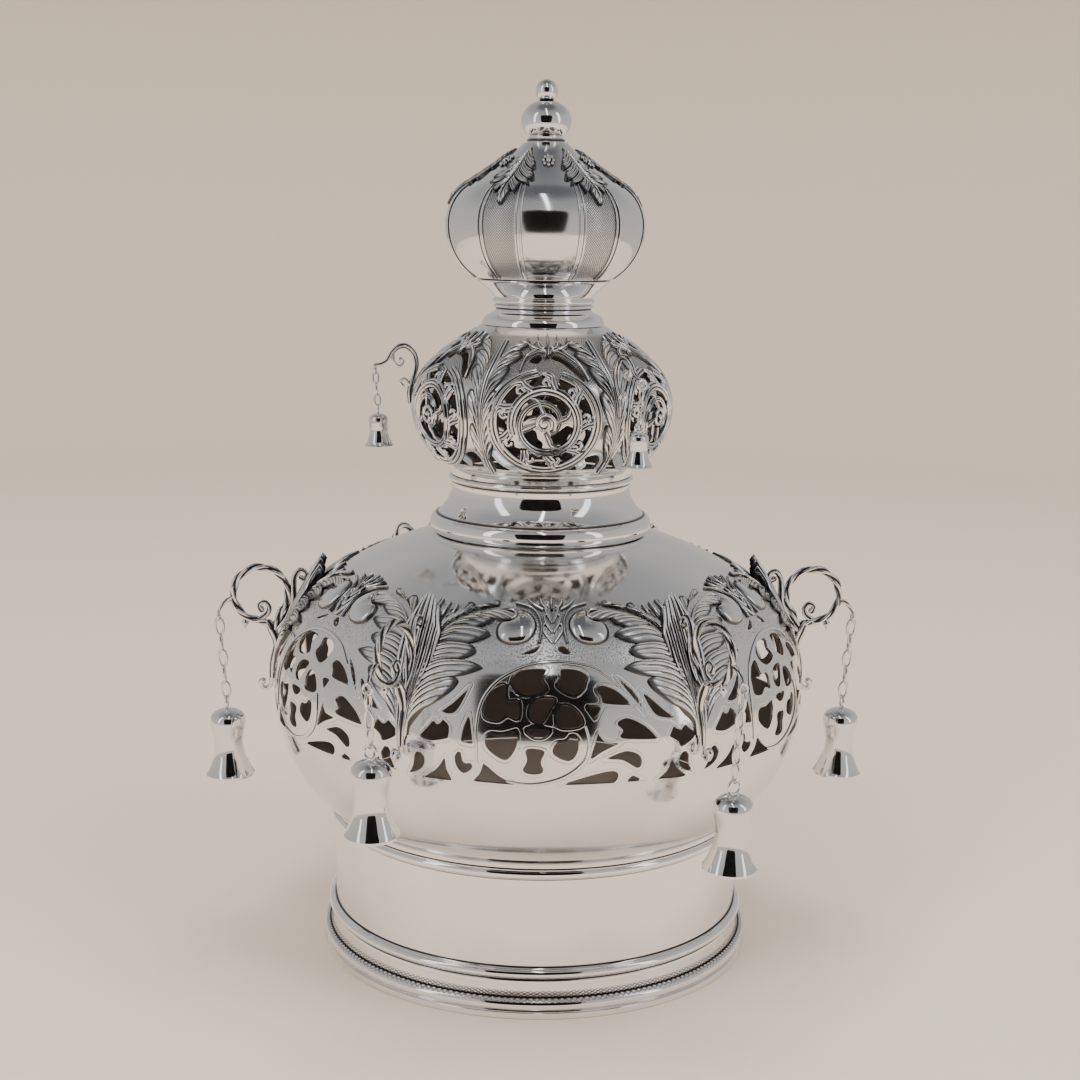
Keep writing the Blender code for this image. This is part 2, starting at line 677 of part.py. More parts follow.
def bracket_mesh():
    """Stem, scroll, tendrils, bud, hook and eye of a large bracket, cast in one"""
    outline = bowl_outline()
    out, up = spring_point()
    foot = [outline.lifted(outline.distance_at(up - drop), GAP + STEM_RADIUS)
            for drop in (STEM_LENGTH - 4, STEM_LENGTH * 0.55, STEM_LENGTH * 0.25)]
    spring = (out, up)
    step = BRACKET_STEP
    stem = smooth(foot + drawn(spring, step, (0, 0), (1.8, 3.4)), 8)
    radii = [STEM_RADIUS / 1.5] + [STEM_RADIUS] * 4
    radii += [(2 * STEM_RADIUS + SPRING_RADIUS) / 3, SPRING_RADIUS, (STEM_RADIUS + SPRING_RADIUS) / 2]
    parts = [wire("stem", stem, radii, 4)]
    curl = drawn(foot[0], step, (0, 1), (0.9, -2.6), (3.6, -3.2), (4.6, -0.8))
    parts.append(wire("curl", curl, [0.7 * step, 0.8 * step, 0.8 * step, 0.5 * step], 3))
    centre = (out + SCROLL_OUT, up + SCROLL_UP)
    scroll = drawn(spring, step, (-0.6, 0)) + arc(centre, SCROLL_RADIUS, 222, -92, 8)
    scroll += drawn(spring, step, (1.8, 2.8))
    radii = [0.8 * SCROLL_WIRE] + [SCROLL_WIRE] * (len(scroll) - 2) + [0.7 * SCROLL_WIRE]
    parts.append(wire("scroll", scroll, radii, 4))
    low = (centre[0] + 1.2 * step, centre[1] - SCROLL_RADIUS)
    volute = drawn(low, step, (0, 0), (-3.8, 2.6), (-4.6, 5.6), (-2.8, 7.8), (-0.6, 6.6), (-1.6, 4.6))
    parts.append(wire("volute", smooth(volute, 6), taper(1.0 * step, 0.9 * step, 0.7 * step, 6), 3))
    branch = drawn(spring, step, (-0.4, -0.6), (-6.2, 5), (-9, 12), (-9.1, 18.8), (-8.8, 22.4),
                   (-10.8, 25.2), (-13, 24), (-12.4, 22.2))
    parts.append(wire("branch", smooth(branch, 7), taper(TENDRIL_WIRE, 0.9 * step, 0.6 * step, 7), 3))
    eye = eye_centre()
    rim = (eye[0], eye[1] + EYE_RADIUS)
    hook = drawn((centre[0] + SCROLL_RADIUS, centre[1]), step, (0, -1.6), (3, -3.2))
    hook += drawn(rim, step, (-1.2, 2.2), (0, 0))
    parts.append(wire("hook", hook, [step, 0.95 * step, 0.9 * step, 0.55 * step], 3))
    bud = drawn(centre, step, (5.6, -9.6), (6.6, -12.4), (6.8, -14.6))
    parts.append(wire("bud", bud, [0.7 * step, 1.2 * step, 0.3 * step], 3))
    parts.append(ring(eye, EYE_RADIUS, EYE_WIRE))
    return fused("bracket", parts)


def hook_outline():
    """The base of the small bracket, on a rib of the globe's belly"""
    outline = globe_outline()
    return outline.lifted(outline.distance_at(GLOBE_Z + GLOBE_BELLY_HEIGHT), GLOBE_RIB + GAP + HOOK_WIRE)


def small_eye_centre():
    """The middle of the ring at the end of a small bracket"""
    out, up = hook_outline()
    return (out + HOOK_REACH - 0.9, up + 0.59 * HOOK_HEIGHT)


def small_bracket_mesh():
    """The hook on the globe, with its two small curls and its eye"""
    out, up = hook_outline()
    top = up + HOOK_HEIGHT
    eye = small_eye_centre()
    step = HOOK_STEP
    hook = drawn((out, up), step, (0, 0), (0, 4.5), (-1.1, 8.5), (-2.4, 12.5))
    hook += drawn((out, top), step, (-2.8, -6.5), (-1.6, -2.6), (1.2, 0), (4.4, -0.2), (7.2, -2.6),
                  (9.4, -6), (12.2, -7.4))
    hook.append((eye[0], eye[1] + EYE_RADIUS))
    parts = [wire("hook", smooth(hook, 10), taper(HOOK_WIRE, HOOK_WIRE, 0.6 * HOOK_WIRE, 10), 3)]
    curl = drawn((out, top), step, (6.9, -2.4), (6.6, -6), (4.2, -8.2), (2.6, -6.2))
    parts.append(wire("curl", smooth(curl, 5), taper(0.8 * step, 0.7 * step, 0.5 * step, 5), 3))
    low = drawn((out, up), step, (-0.6, 6.6), (1.8, 9.6), (3.8, 8.6), (2.6, 6.9))
    parts.append(wire("low_curl", smooth(low, 5), taper(0.8 * step, 0.7 * step, 0.5 * step, 5), 3))
    parts.append(ring(eye, EYE_RADIUS, EYE_WIRE))
    return fused("small_bracket", parts)


# Chains and bells, hung from their own origins

def link(size, drop, facing):
    """One oval link of three-sided wire, whose flat faces inwards"""
    rod = LINK_WIRE * size
    tall = LINK_LENGTH * size / 2 - rod
    wide = LINK_WIDTH * size / 2 - rod
    track = [(wide * 0.6, tall), (wide, 0), (wide * 0.6, -tall),
             (-wide * 0.6, -tall), (-wide, 0), (-wide * 0.6, tall)]
    points = []
    for x, y in track:
        for k in range(3):
            turn = 2 * math.pi * k / 3
            across = x + rod * math.cos(turn) * math.copysign(0.6, x)
            height = y + rod * math.cos(turn) * (y > 0) - rod * math.cos(turn) * (y < 0) - drop - tall
            depth = rod * math.sin(turn)
            points.append((across, depth, height) if facing else (depth, across, height))
    return mesh_of("link", points, round_faces(len(track)))


def link_pitch(size):
    """How far apart the links of a chain hang"""
    return (LINK_LENGTH - 3 * LINK_WIRE + LINK_BITE) * size


def chain_mesh(count, size):
    """Links in turn across and along, fused where each bears on the next"""
    return fused("chain", [link(size, i * link_pitch(size), i % 2) for i in range(count)])


def chain_drop(count, size):
    """From the first link's top wire down to the last one's lowest wire, middle to middle"""
    return (count - 1) * link_pitch(size) + (LINK_LENGTH - 2 * LINK_WIRE) * size


def bell_mesh(height, mouth, crown, middle, wall, loop, rod, steps):
    """A hollow bell with the ring that it hangs by; its origin is the ring's top wire"""
    top = -2 * loop + 0.1
    outer = [(0, top), (crown * 0.68, top - height * 0.04), (crown, top - height * 0.18),
             (middle, top - height * 0.47), (middle * 1.17, top - height * 0.74), (mouth, top - height)]
    inner = [(radius - wall, level) for radius, level in outer[:1:-1]] + [(0, top - 1.4 * wall)]
    shape = turned("bell", outer + inner, [360 * i / steps for i in range(steps)])
    return fused("bell", [shape, ring((0, -loop), loop, rod)])


def hang(azimuth, eye, count, size, chain, bell, names):
    """A chain from an eye and a bell from the chain's last link"""
    rod = LINK_WIRE * size
    lean = math.radians(CHAIN_LEAN)
    level = eye[1] - EYE_RADIUS + EYE_WIRE / 2 + GAP + rod / 2
    place(names[0], chain, (CHAIN_LEAN, 0, azimuth), spot(eye[0], level, azimuth))
    drop = chain_drop(count, size) - rod - GAP
    at = spot(eye[0] - drop * math.sin(lean), level - drop * math.cos(lean), azimuth)
    place(names[1], bell, (BELL_LEAN, 0, azimuth), at)


def hangings():
    """Brackets, chains and bells at their places"""
    bracket = bracket_mesh()
    long_chain = chain_mesh(LINKS, 1.0)
    short_chain = chain_mesh(SHORT_LINKS, 1.0)
    bell = bell_mesh(BELL_HEIGHT, BELL_MOUTH, BELL_CROWN, BELL_WAIST, BELL_WALL, BELL_RING,
                     LINK_WIRE, BELL_STEPS)
    for name, azimuth in PLACES.items():
        place("bracket_" + name, bracket, (0, 0, azimuth))
        short = name == SHORT_CHAIN
        hang(azimuth, eye_centre(), SHORT_LINKS if short else LINKS, 1.0,
             short_chain if short else long_chain, bell, ("chain_" + name, "bell_" + name))
    hook = small_bracket_mesh()
    small_chain = chain_mesh(SMALL_LINKS, SMALL_LINK)
    small_bell = bell_mesh(SMALL_BELL_HEIGHT, SMALL_BELL_MOUTH, SMALL_BELL_CROWN, SMALL_BELL_CROWN * 0.95,
                           SMALL_BELL_WALL, SMALL_BELL_RING, LINK_WIRE * SMALL_LINK, SMALL_BELL_STEPS)
    for name in GLOBE_PLACES:
        azimuth = PLACES[name]
        place("small_bracket_" + name, hook, (0, 0, azimuth))
        hang(azimuth, small_eye_centre(), SMALL_LINKS, SMALL_LINK, small_chain, small_bell,
             ("small_chain_" + name, "small_bell_" + name))


def main():
    """Clears the scene and builds the crown"""
    for old in list(bpy.data.objects):
        bpy.data.objects.remove(old)
    set_silver()
    collar()
    lower_bowl()
    waist()
    middle_globe()
    upper_neck()
    onion_dome()
    finial()
    hangings()


main()
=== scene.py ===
"""The looks of a tiered silver crown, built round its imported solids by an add-on's operators.

Lengths in the outlines and the ornament are millimetres and turn into metres in a mesh. An azimuth of
0 degrees is the front, towards -Y, and +90 is +X. On a chased wall a place is an azimuth from the
panel's middle and a distance up the wall.
"""
import math

import bmesh
import bpy
import numpy as np
from mathutils import Euler, Matrix, Vector


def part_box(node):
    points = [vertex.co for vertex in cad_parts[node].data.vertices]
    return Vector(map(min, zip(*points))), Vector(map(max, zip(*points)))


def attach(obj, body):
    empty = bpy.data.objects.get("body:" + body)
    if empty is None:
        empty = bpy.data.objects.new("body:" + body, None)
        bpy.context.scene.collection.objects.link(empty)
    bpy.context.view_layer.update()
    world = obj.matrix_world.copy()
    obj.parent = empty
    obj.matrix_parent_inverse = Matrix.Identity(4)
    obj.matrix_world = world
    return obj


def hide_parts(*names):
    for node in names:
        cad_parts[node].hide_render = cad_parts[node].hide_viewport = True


bl_info = {
    "name": "Silver Torah Crown",
    "version": (1, 0, 0),
    "blender": (4, 5, 0),
    "location": "View3D > Sidebar > Crown",
    "description": "Builds the chased, pierced and cast silver of a tiered crown round its solids",
    "category": "Object",
}

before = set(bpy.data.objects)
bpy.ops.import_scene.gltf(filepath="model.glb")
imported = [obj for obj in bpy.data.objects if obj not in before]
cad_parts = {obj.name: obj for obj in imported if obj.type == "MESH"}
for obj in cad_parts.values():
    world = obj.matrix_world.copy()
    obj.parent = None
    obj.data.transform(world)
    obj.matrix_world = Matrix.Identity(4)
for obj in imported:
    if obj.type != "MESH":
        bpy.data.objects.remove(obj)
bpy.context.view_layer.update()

MM = 0.001
GAP = 0.3
PANELS = 6
PLACES = {"front_left": -30, "front_right": 30, "right": 90,
          "back_right": 150, "back_left": -150, "left": -90}
GLOBE_PLACES = ("left", "front_right", "back_right")


def tier(node):
    """A tier's radius, lowest and highest level, in millimetres, read from the frame"""
    low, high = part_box(node)
    return (high.x - low.x) / 2 / MM, low.z / MM, high.z / MM


RIM_RADIUS, _, COLLAR_TOP = tier("base_collar")
BOWL_RADIUS, BOWL_Z, BOWL_TOP = tier("lower_bowl")
FLANGE_RADIUS, WAIST_Z, WAIST_TOP = tier("waist")
GLOBE_REACH, GLOBE_Z, GLOBE_TOP = tier("middle_globe")
_, NECK_Z, NECK_TOP = tier("upper_neck")
DOME_RADIUS, DOME_Z, DOME_TOP = tier("onion_dome")
FINIAL_BALL, FINIAL_Z, FINIAL_TOP = tier("finial")

# Sizes of the outlines that the frame's boxes don't give
COLLAR_RADIUS = 85.9
RIB_HEIGHT = 0.8
GLOBE_RADIUS = GLOBE_REACH - RIB_HEIGHT
BOWL_FOOT = 86.5
BOWL_LIP = 1.3
BOWL_BELLY = 51.6
BAND_START = 37.2
GLOBE_FOOT = 37.5
GLOBE_LIP = 3.2
GLOBE_BELLY = 28.8
GLOBE_SEAT, GLOBE_MOUTH = 25.6, 23.2
NECK_CUP = 27.4
DOME_BELLY = 21.7
DOME_MOUTH = 8.9

# Each shoulder's radius of arc, its angle in degrees and the pull of the run above it
BOWL_SHOULDER = (56.9, 62, 0.5)
GLOBE_SHOULDER = (22.5, 46, 0.5)
DOME_SHOULDER = (18.4, 58, 0.62)

# Where a large bracket's scroll springs: up from the bowl's foot, and off its side
SPRING_RISE, SPRING_OFF = 71.7, 5.0

# Where that scroll and the bracket's eye stand from the spring, and the scroll's radius
SCROLL_AT = (4.7, 15.3)
SCROLL_RADIUS = 11.4
LARGE_EYE_AT = (22.3, 5.9)

# A small bracket's hook: its rise, and where its eye stands from its foot
SMALL_HOOK_RISE = 23.0
SMALL_EYE_AT = (14.1, 0.59 * SMALL_HOOK_RISE)

# The eyes' rings, what hangs from them and how it leans, in degrees
EYE_RADIUS = 1.9
EYE_WIRE = 0.6
EYE_REST = 0.3
CHAIN_LEAN = 4.5
BELL_LEAN = 2.0
LONG_CHAIN, SHORT_CHAIN, SMALL_CHAIN = 5, 3, 3
SMALL_SHARE = 0.68
BELL_TARNISH = 0.2

# What a wall's field says far from every opening
FAR = 9.0

# The hatched grounds' furrows, in metres
HATCH_STEP = 0.0011
HATCH_RADIUS = 0.04

# The darker brown-grey of the tiers' inner sides, a painted shade inside them; those sides are also rougher,
# as unpolished silver
INNER_SHADE_COLOUR = (0.42, 0.38, 0.35)


# Sizes and colours that a user would change

class CrownSizes(bpy.types.PropertyGroup):
    """Sizes of the crown's walls, relief and wire"""

    wall: bpy.props.FloatProperty(
        name="Wall", description="Thickness of the tiers' sheet", default=1.2 * MM, unit="LENGTH")
    turned_steps: bpy.props.IntProperty(
        name="Turned steps", description="Facets round a spun piece", default=192)
    leaf_relief: bpy.props.FloatProperty(
        name="Leaf relief", description="How far a chased leaf stands off the wall", default=1.5 * MM,
        unit="LENGTH")
    flute_depth: bpy.props.FloatProperty(
        name="Flute depth", description="Share of the relief that the flutes cut", default=0.6,
        subtype="FACTOR", min=0, max=1)
    link_length: bpy.props.FloatProperty(
        name="Link length", description="Outer length of a large chain's link", default=8.5 * MM,
        unit="LENGTH")
    link_width: bpy.props.FloatProperty(
        name="Link width", description="Outer width of a large chain's link", default=4.6 * MM,
        unit="LENGTH")
    link_wire: bpy.props.FloatProperty(
        name="Link wire", description="Radius of the chain's wire", default=0.6 * MM, unit="LENGTH")
    bell_wall: bpy.props.FloatProperty(
        name="Bell wall", description="Thickness of a bell", default=0.8 * MM, unit="LENGTH")


class CrownColours(bpy.types.PropertyGroup):
    """Colours of the crown's finishes and of its stage"""

    silver: bpy.props.FloatVectorProperty(
        name="Silver", description="Polished metal", subtype="COLOR", size=3, default=(0.93, 0.925, 0.92))
    chased: bpy.props.FloatVectorProperty(
        name="Chased silver", description="Metal of the relief", subtype="COLOR", size=3,
        default=(0.86, 0.86, 0.86))
    # Oxide in the chased recesses, and the dark of the painted shade in turned grooves and flutes
    oxide_and_shade_colour: bpy.props.FloatVectorProperty(
        name="Oxide", description="Darkened silver in the recesses", subtype="COLOR", size=3,
        default=(0.03, 0.03, 0.032))
    backdrop: bpy.props.FloatVectorProperty(
        name="Backdrop", description="Pale paper under and behind the crown", subtype="COLOR", size=3,
        default=(0.74, 0.66, 0.575))


# Outlines, as lists of radius and height

def arc(centre, radius, start, end, steps):
    """Points on a circle between two angles in degrees, counted from straight out"""
    angles = np.radians(np.linspace(start, end, steps + 1))
    return [(centre[0] + radius * math.cos(t), centre[1] + radius * math.sin(t)) for t in angles]


def bend(start, middle, end, steps):
    """A quadratic curve from start to end, drawn towards middle, without its start"""
    points = []
    for i in range(1, steps + 1):
        t = i / steps
        weights = ((1 - t) ** 2, 2 * t * (1 - t), t ** 2)
        points.append(tuple(sum(w * p[k] for w, p in zip(weights, (start, middle, end))) for k in (0, 1)))
    return points


def bead(radius, low, high, root, steps=10):
    """A rounded ring that stands out from root to radius between two heights"""
    half = (high - low) / 2
    angles = np.radians(np.linspace(-90, 90, steps + 1))
    return [(root + (radius - root) * math.cos(t), low + half + half * math.sin(t)) for t in angles]


def bulge(foot, belly, shoulder, top, steps=(26, 20, 16)):
    """The side of a bellied vessel: an arc up to the belly, a shoulder arc, a run to the top"""
    shoulder_arc, shoulder_angle, pull = shoulder
    rise = belly[1] - foot[1]
    swell = belly[0] - foot[0]
    lower = (swell ** 2 + rise ** 2) / (2 * swell)
    start = -math.degrees(math.asin(min(1.0, rise / lower)))
    points = arc((belly[0] - lower, belly[1]), lower, start, 0, steps[0])
    points += arc((belly[0] - shoulder_arc, belly[1]), shoulder_arc, 0, shoulder_angle, steps[1])[1:]
    turn = math.radians(shoulder_angle)
    run = pull * math.hypot(top[0] - points[-1][0], top[1] - points[-1][1])
    middle = (points[-1][0] - run * math.sin(turn), points[-1][1] + run * math.cos(turn))
    return points + bend(points[-1], middle, top, steps[2])


class Outline:
    """A turned outline that is read by the distance along it"""

    def __init__(self, points):
        self.points = np.array(points, float)
        steps = np.hypot(*np.diff(self.points, axis=0).T)
        self.marks = np.concatenate([[0.0], np.cumsum(steps)])
        self.length = self.marks[-1]

    def at(self, distance):
        """Radii and heights at distances from the first point"""
        return np.stack([np.interp(distance, self.marks, self.points[:, k]) for k in (0, 1)], -1)

    def lifted(self, distance, height, reach=0.6):
        """Radii and heights of points that stand off the outline by a height"""
        distance = np.asarray(distance, float)
        low = self.at(np.clip(distance - reach, 0, self.length))
        high = self.at(np.clip(distance + reach, 0, self.length))
        along = (high - low) / np.linalg.norm(high - low, axis=-1, keepdims=True)
        out = np.stack([along[..., 1], -along[..., 0]], -1)
        return self.at(distance) + out * np.asarray(height)[..., None]

    def distance_at(self, level):
        """The distance at which the outline first reaches a height"""
        rising = np.maximum.accumulate(self.points[:, 1])
        return float(np.interp(level, rising, self.marks))

    def place_on(self, azimuth, distance, height):
        """Points in metres on the wall, or off it by a height"""
        spots = self.lifted(distance, height)
        turn = np.radians(azimuth)
        return np.stack([spots[..., 0] * np.sin(turn), -spots[..., 0] * np.cos(turn), spots[..., 1]],
                        -1) * MM


def spot(radius, height, azimuth):
    """A place on the crown in metres"""
    turn = math.radians(azimuth)
    return Vector((radius * math.sin(turn), -radius * math.cos(turn), height)) * MM


def between(a, b, c, d, t):
    """The place at a share t of the way from b to c, on the curve through a, b, c and d"""
    return 0.5 * (2 * b + (c - a) * t + (2 * a - 5 * b + 4 * c - d) * t ** 2
                  + (3 * b - a - 3 * c + d) * t ** 3)


def smooth(points, count):
    """Evenly spaced points on the curve that passes through the given ones"""
    points = [np.array(p, float) for p in points]
    ends = [points[0]] + points + [points[-1]]
    fine = []
    for a, b, c, d in zip(ends, ends[1:], ends[2:], ends[3:]):
        for t in np.linspace(0, 1, 16, endpoint=False):
            fine.append(between(a, b, c, d, t))
    fine.append(points[-1])
    track = Outline(np.array(fine))
    return track.at(np.linspace(0, track.length, count))


def closed_curve(corners, steps=7):
    """A closed loop through corners; a corner with a third value is sharp, the others are rounded"""
    places = [np.array(c[:2], float) for c in corners]
    sharp = [len(c) > 2 for c in corners]
    count = len(corners)
    points = []
    for i in range(count):
        b, c = places[i], places[(i + 1) % count]
        a = b if sharp[i] else places[i - 1]
        d = c if sharp[(i + 1) % count] else places[(i + 2) % count]
        for t in np.linspace(0, 1, steps, endpoint=False):
            points.append(between(a, b, c, d, t))
    return np.array(points)


# Meshes and objects

def mesh_from(points, faces, values=None, sharp=45):
    """A smooth mesh in metres, with named values at its points"""
    mesh = bpy.data.meshes.new("piece")
    mesh.from_pydata(np.asarray(points).tolist(), [], [list(map(int, f)) for f in faces])
    for name, numbers in (values or {}).items():
        add_value(mesh, name, numbers)
    mesh.validate()
    mesh.shade_smooth()
    mesh.set_sharp_from_angle(angle=math.radians(sharp))
    return mesh


def distances_of(mesh, outline):
    """Each point's distance along an outline, from its radius and height"""
    radius, level = radii_of(mesh), places_of(mesh)[:, 2]
    best = np.full(len(radius), 1e9)
    result = np.zeros(len(radius))
    for mark in np.arange(0, outline.length, 0.5):
        here = outline.at(mark)
        gap = np.hypot(radius - here[0], level - here[1])
        nearer = gap < best
        best[nearer] = gap[nearer]
        result[nearer] = mark
    return result


def places_of(mesh):
    """The mesh's points in millimetres"""
    places = np.zeros(len(mesh.vertices) * 3)
    mesh.vertices.foreach_get("co", places)
    return places.reshape(-1, 3) / MM


def radii_of(mesh):
    """Each point's distance from the crown's axis"""
    places = places_of(mesh)
    return np.hypot(places[:, 0], places[:, 1])


def paint_groove_shade(mesh, grooves, reach=0.5):
    """Paints shade as a dark mark on a turned piece near its grooves, each a radius and a height"""
    radius, level = radii_of(mesh), places_of(mesh)[:, 2]
    nearest = np.min([np.hypot(radius - r, level - z) for r, z in grooves], axis=0)
    add_value(mesh, "oxide_and_shade_mask", 1 - smoothstep(nearest, 0.1, reach))


def in_panel(turn):
    """Azimuths counted from the middle of their own panel"""
    half = 180 / PANELS
    return (turn + half) % (2 * half) - half


def azimuths_of(mesh):
    """Each point's azimuth from the middle of its panel"""
    places = places_of(mesh)
    return in_panel(np.degrees(np.arctan2(places[:, 0], -places[:, 1])))


def smoothstep(value, low, high):
    """0 below low, 1 above high and a smooth step between"""
    share = np.clip((value - low) / (high - low), 0, 1)
    return share * share * (3 - 2 * share)


def add_value(mesh, name, numbers):
    """A named value at each point of a mesh"""
    layer = mesh.attributes.new(name, "FLOAT", "POINT")
    layer.data.foreach_set("value", np.asarray(numbers, np.float32))


def joined(meshes):
    """One mesh from several, keeping their values"""
    parts = [bpy.data.objects.new("part", mesh) for mesh in meshes]
    for part in parts:
        bpy.context.scene.collection.objects.link(part)
    with bpy.context.temp_override(active_object=parts[0], selected_editable_objects=parts,
                                   selected_objects=parts, object=parts[0]):
        bpy.ops.object.join()
    mesh = parts[0].data
    bpy.data.objects.remove(parts[0])
    return mesh


def outward(mesh):
    """Turns a closed mesh's faces out if they point in"""
    shape = bmesh.new()
    shape.from_mesh(mesh)
    if shape.calc_volume(signed=True) < 0:
        bmesh.ops.reverse_faces(shape, faces=shape.faces)
        shape.to_mesh(mesh)
    shape.free()
    return mesh


def faces_round(rows, sides, closed):
    """The faces between rows of points round a rod, back to the first row if it is closed"""
    faces = []
    for i in range(rows if closed else rows - 1):
        ahead = (i + 1) % rows
        faces += [[i * sides + k, i * sides + (k + 1) % sides, ahead * sides + (k + 1) % sides,
                   ahead * sides + k] for k in range(sides)]
    return faces


def tube(path, radii, sides, flutes, twist, depth):
    """A cast rod along a path of radius and height at the front, with twisted flutes"""
    path = np.array(path, float)
    radii = np.asarray(radii, float)
    spread = np.array([0.35, 0.75, 1.0])
    along = np.gradient(path, axis=0)
    along /= np.linalg.norm(along, axis=1, keepdims=True)
    length = np.concatenate([[0], np.cumsum(np.linalg.norm(np.diff(path, axis=0), axis=1))])
    cap = radii[0] * np.array([0.85, 0.5, 0.0])
    path = np.vstack([path[0] - along[0] * cap[:, None], path, path[-1] + along[-1] * cap[::-1][:, None]])
    along = np.vstack([along[:1]] * 3 + [along] + [along[-1:]] * 3)
    radii = np.concatenate([radii[0] * spread, radii, radii[-1] * spread[::-1]])
    length = np.concatenate([[length[0]] * 3, length, [length[-1]] * 3])
    turns = np.linspace(0, 2 * math.pi, sides, endpoint=False)
    wave = np.cos(flutes * turns[None] + twist * length[:, None]) if flutes else np.ones((len(path), sides))
    reach = radii[:, None] * (1 - depth * (0.5 - 0.5 * wave))
    across = np.stack([along[:, 1], -along[:, 0]], -1)
    out = path[:, None, 0] + across[:, None, 0] * np.cos(turns) * reach
    up = path[:, None, 1] + across[:, None, 1] * np.cos(turns) * reach
    side = np.sin(turns) * reach
    points = np.stack([side, -out, up], -1).reshape(-1, 3) * MM
    rows = len(path)
    faces = faces_round(rows, sides, closed=False)
    faces += [list(range(sides))[::-1], [(rows - 1) * sides + k for k in range(sides)]]
    # The flutes' hollows are darkened: oxide, and painted shade for the cast rods' dark sides
    oxide_and_shade_mask = (0.5 - 0.5 * wave) ** 2 if flutes else np.zeros((rows, sides))
    return outward(mesh_from(points, faces, {"oxide_and_shade_mask": oxide_and_shade_mask.ravel()}, sharp=80))


def rod(path, count, marks, radii, sides=10, flutes=0, twist=0.0, depth=0.14):
    """A cast rod through some points, with its radii at given shares of its length"""
    radii = np.interp(np.linspace(0, 1, count), marks, radii)
    return tube(smooth(path, count), radii, sides, flutes, twist, depth)


def stepped(place, steps):
    """Points that stand from a place by the given steps out and up"""
    return [(place[0] + out, place[1] + up) for out, up in steps]


def eye_ring(centre, radius, wire, steps=24, sides=8):
    """A round wire ring that faces outwards, in the plane across the path"""
    points = []
    for i in range(steps):
        turn = 2 * math.pi * i / steps
        for k in range(sides):
            side = 2 * math.pi * k / sides
            reach = radius + wire * math.cos(side)
            points.append((reach * math.sin(turn) * MM, (-centre[0] + wire * math.sin(side)) * MM,
                           (centre[1] + reach * math.cos(turn)) * MM))
    faces = faces_round(steps, sides, closed=True)
    return outward(mesh_from(points, faces, {"oxide_and_shade_mask": np.zeros(steps * sides)}, sharp=80))


def turned_round(mesh, azimuth, lean=0.0, at=(0, 0, 0)):
    """A copy of a mesh drawn at the front, leaned and turned to its place on the crown"""
    copy = mesh.copy()
    turn = Euler((math.radians(lean), 0, math.radians(azimuth))).to_matrix().to_4x4()
    copy.transform(Matrix.Translation(at) @ turn)
    return copy


# Node trees

class Sum:
    """A shader value, on which arithmetic adds Math nodes"""

    def __init__(self, shader, socket):
        self.shader = shader
        self.socket = socket

    def math(self, operation, *others, clamp=False):
        """A Math node on this value and others"""
        values = {i: v for i, v in enumerate((self,) + others)}
        return self.shader.node("ShaderNodeMath", {"operation": operation, "use_clamp": clamp}, values)

    def __add__(self, other):
        return self.math("ADD", other)

    def __radd__(self, other):
        return self.math("ADD", other)

    def __sub__(self, other):
        return self.math("SUBTRACT", other)

    def __rsub__(self, other):
        return self.shader.node("ShaderNodeMath", {"operation": "SUBTRACT"}, {0: other, 1: self})

    def __mul__(self, other):
        return self.math("MULTIPLY", other)

    def __rmul__(self, other):
        return self.math("MULTIPLY", other)

    def clamped(self):
        """The value kept between 0 and 1"""
        return self.math("ADD", 0.0, clamp=True)

    def band(self, low, high):
        """0 below low, 1 above high and a smooth step between"""
        return self.shader.node("ShaderNodeMapRange", {"interpolation_type": "SMOOTHSTEP"},
                                {"Value": self, "From Min": low, "From Max": high})


class Nodes:
    """A node tree and the one way in which nodes are added to it"""

    tree = None

    def node(self, kind, settings=None, values=None, output=0):
        """A node with its settings and socket values or links; gives one of its outputs"""
        made = self.tree.nodes.new(kind)
        for key, value in (settings or {}).items():
            setattr(made, key, value)
        for key, value in (values or {}).items():
            value = value.socket if isinstance(value, Sum) else value
            if isinstance(value, bpy.types.NodeSocket):
                self.tree.links.new(value, made.inputs[key])
            else:
                made.inputs[key].default_value = value
        return made.outputs[output]


class Tree(Nodes):
    """A Geometry Nodes tree with named inputs that ends in Realize Instances and Set Material"""

    def __init__(self, name):
        self.tree = bpy.data.node_groups.new(name, "GeometryNodeTree")
        self.tree.interface.new_socket("Geometry", in_out="INPUT", socket_type="NodeSocketGeometry")
        self.tree.interface.new_socket("Geometry", in_out="OUTPUT", socket_type="NodeSocketGeometry")
        self.names = {}
        self.start = self.tree.nodes.new("NodeGroupInput")

    def input(self, name, kind, default=None):
        """A named input of the tree"""
        socket = self.tree.interface.new_socket(name, in_out="INPUT", socket_type=kind)
        if default is not None:
            socket.default_value = default
        self.names[name] = socket.identifier
        return self.start.outputs[name]

    def end(self, geometry):
        """Realizes the instances, sets the material and closes the tree"""
        material = self.input("Material", "NodeSocketMaterial")
        real = self.node("GeometryNodeRealizeInstances", {}, {"Geometry": geometry})
        painted = self.node("GeometryNodeSetMaterial", {}, {"Geometry": real, "Material": material})
        out = self.tree.nodes.new("NodeGroupOutput")
        self.tree.links.new(painted, out.inputs[0])
        return self

    def run(self, base, values):
        """The plain mesh that the tree makes from a base mesh and its inputs' values"""
        holder = bpy.data.objects.new("holder", base)
        bpy.context.scene.collection.objects.link(holder)
        modifier = holder.modifiers.new("nodes", "NODES")
        modifier.node_group = self.tree
        for name, value in values.items():
            modifier[self.names[name]] = value
        graph = bpy.context.evaluated_depsgraph_get()
        mesh = bpy.data.meshes.new_from_object(holder.evaluated_get(graph))
        holder.modifiers.clear()
        bpy.data.objects.remove(holder)
        return mesh


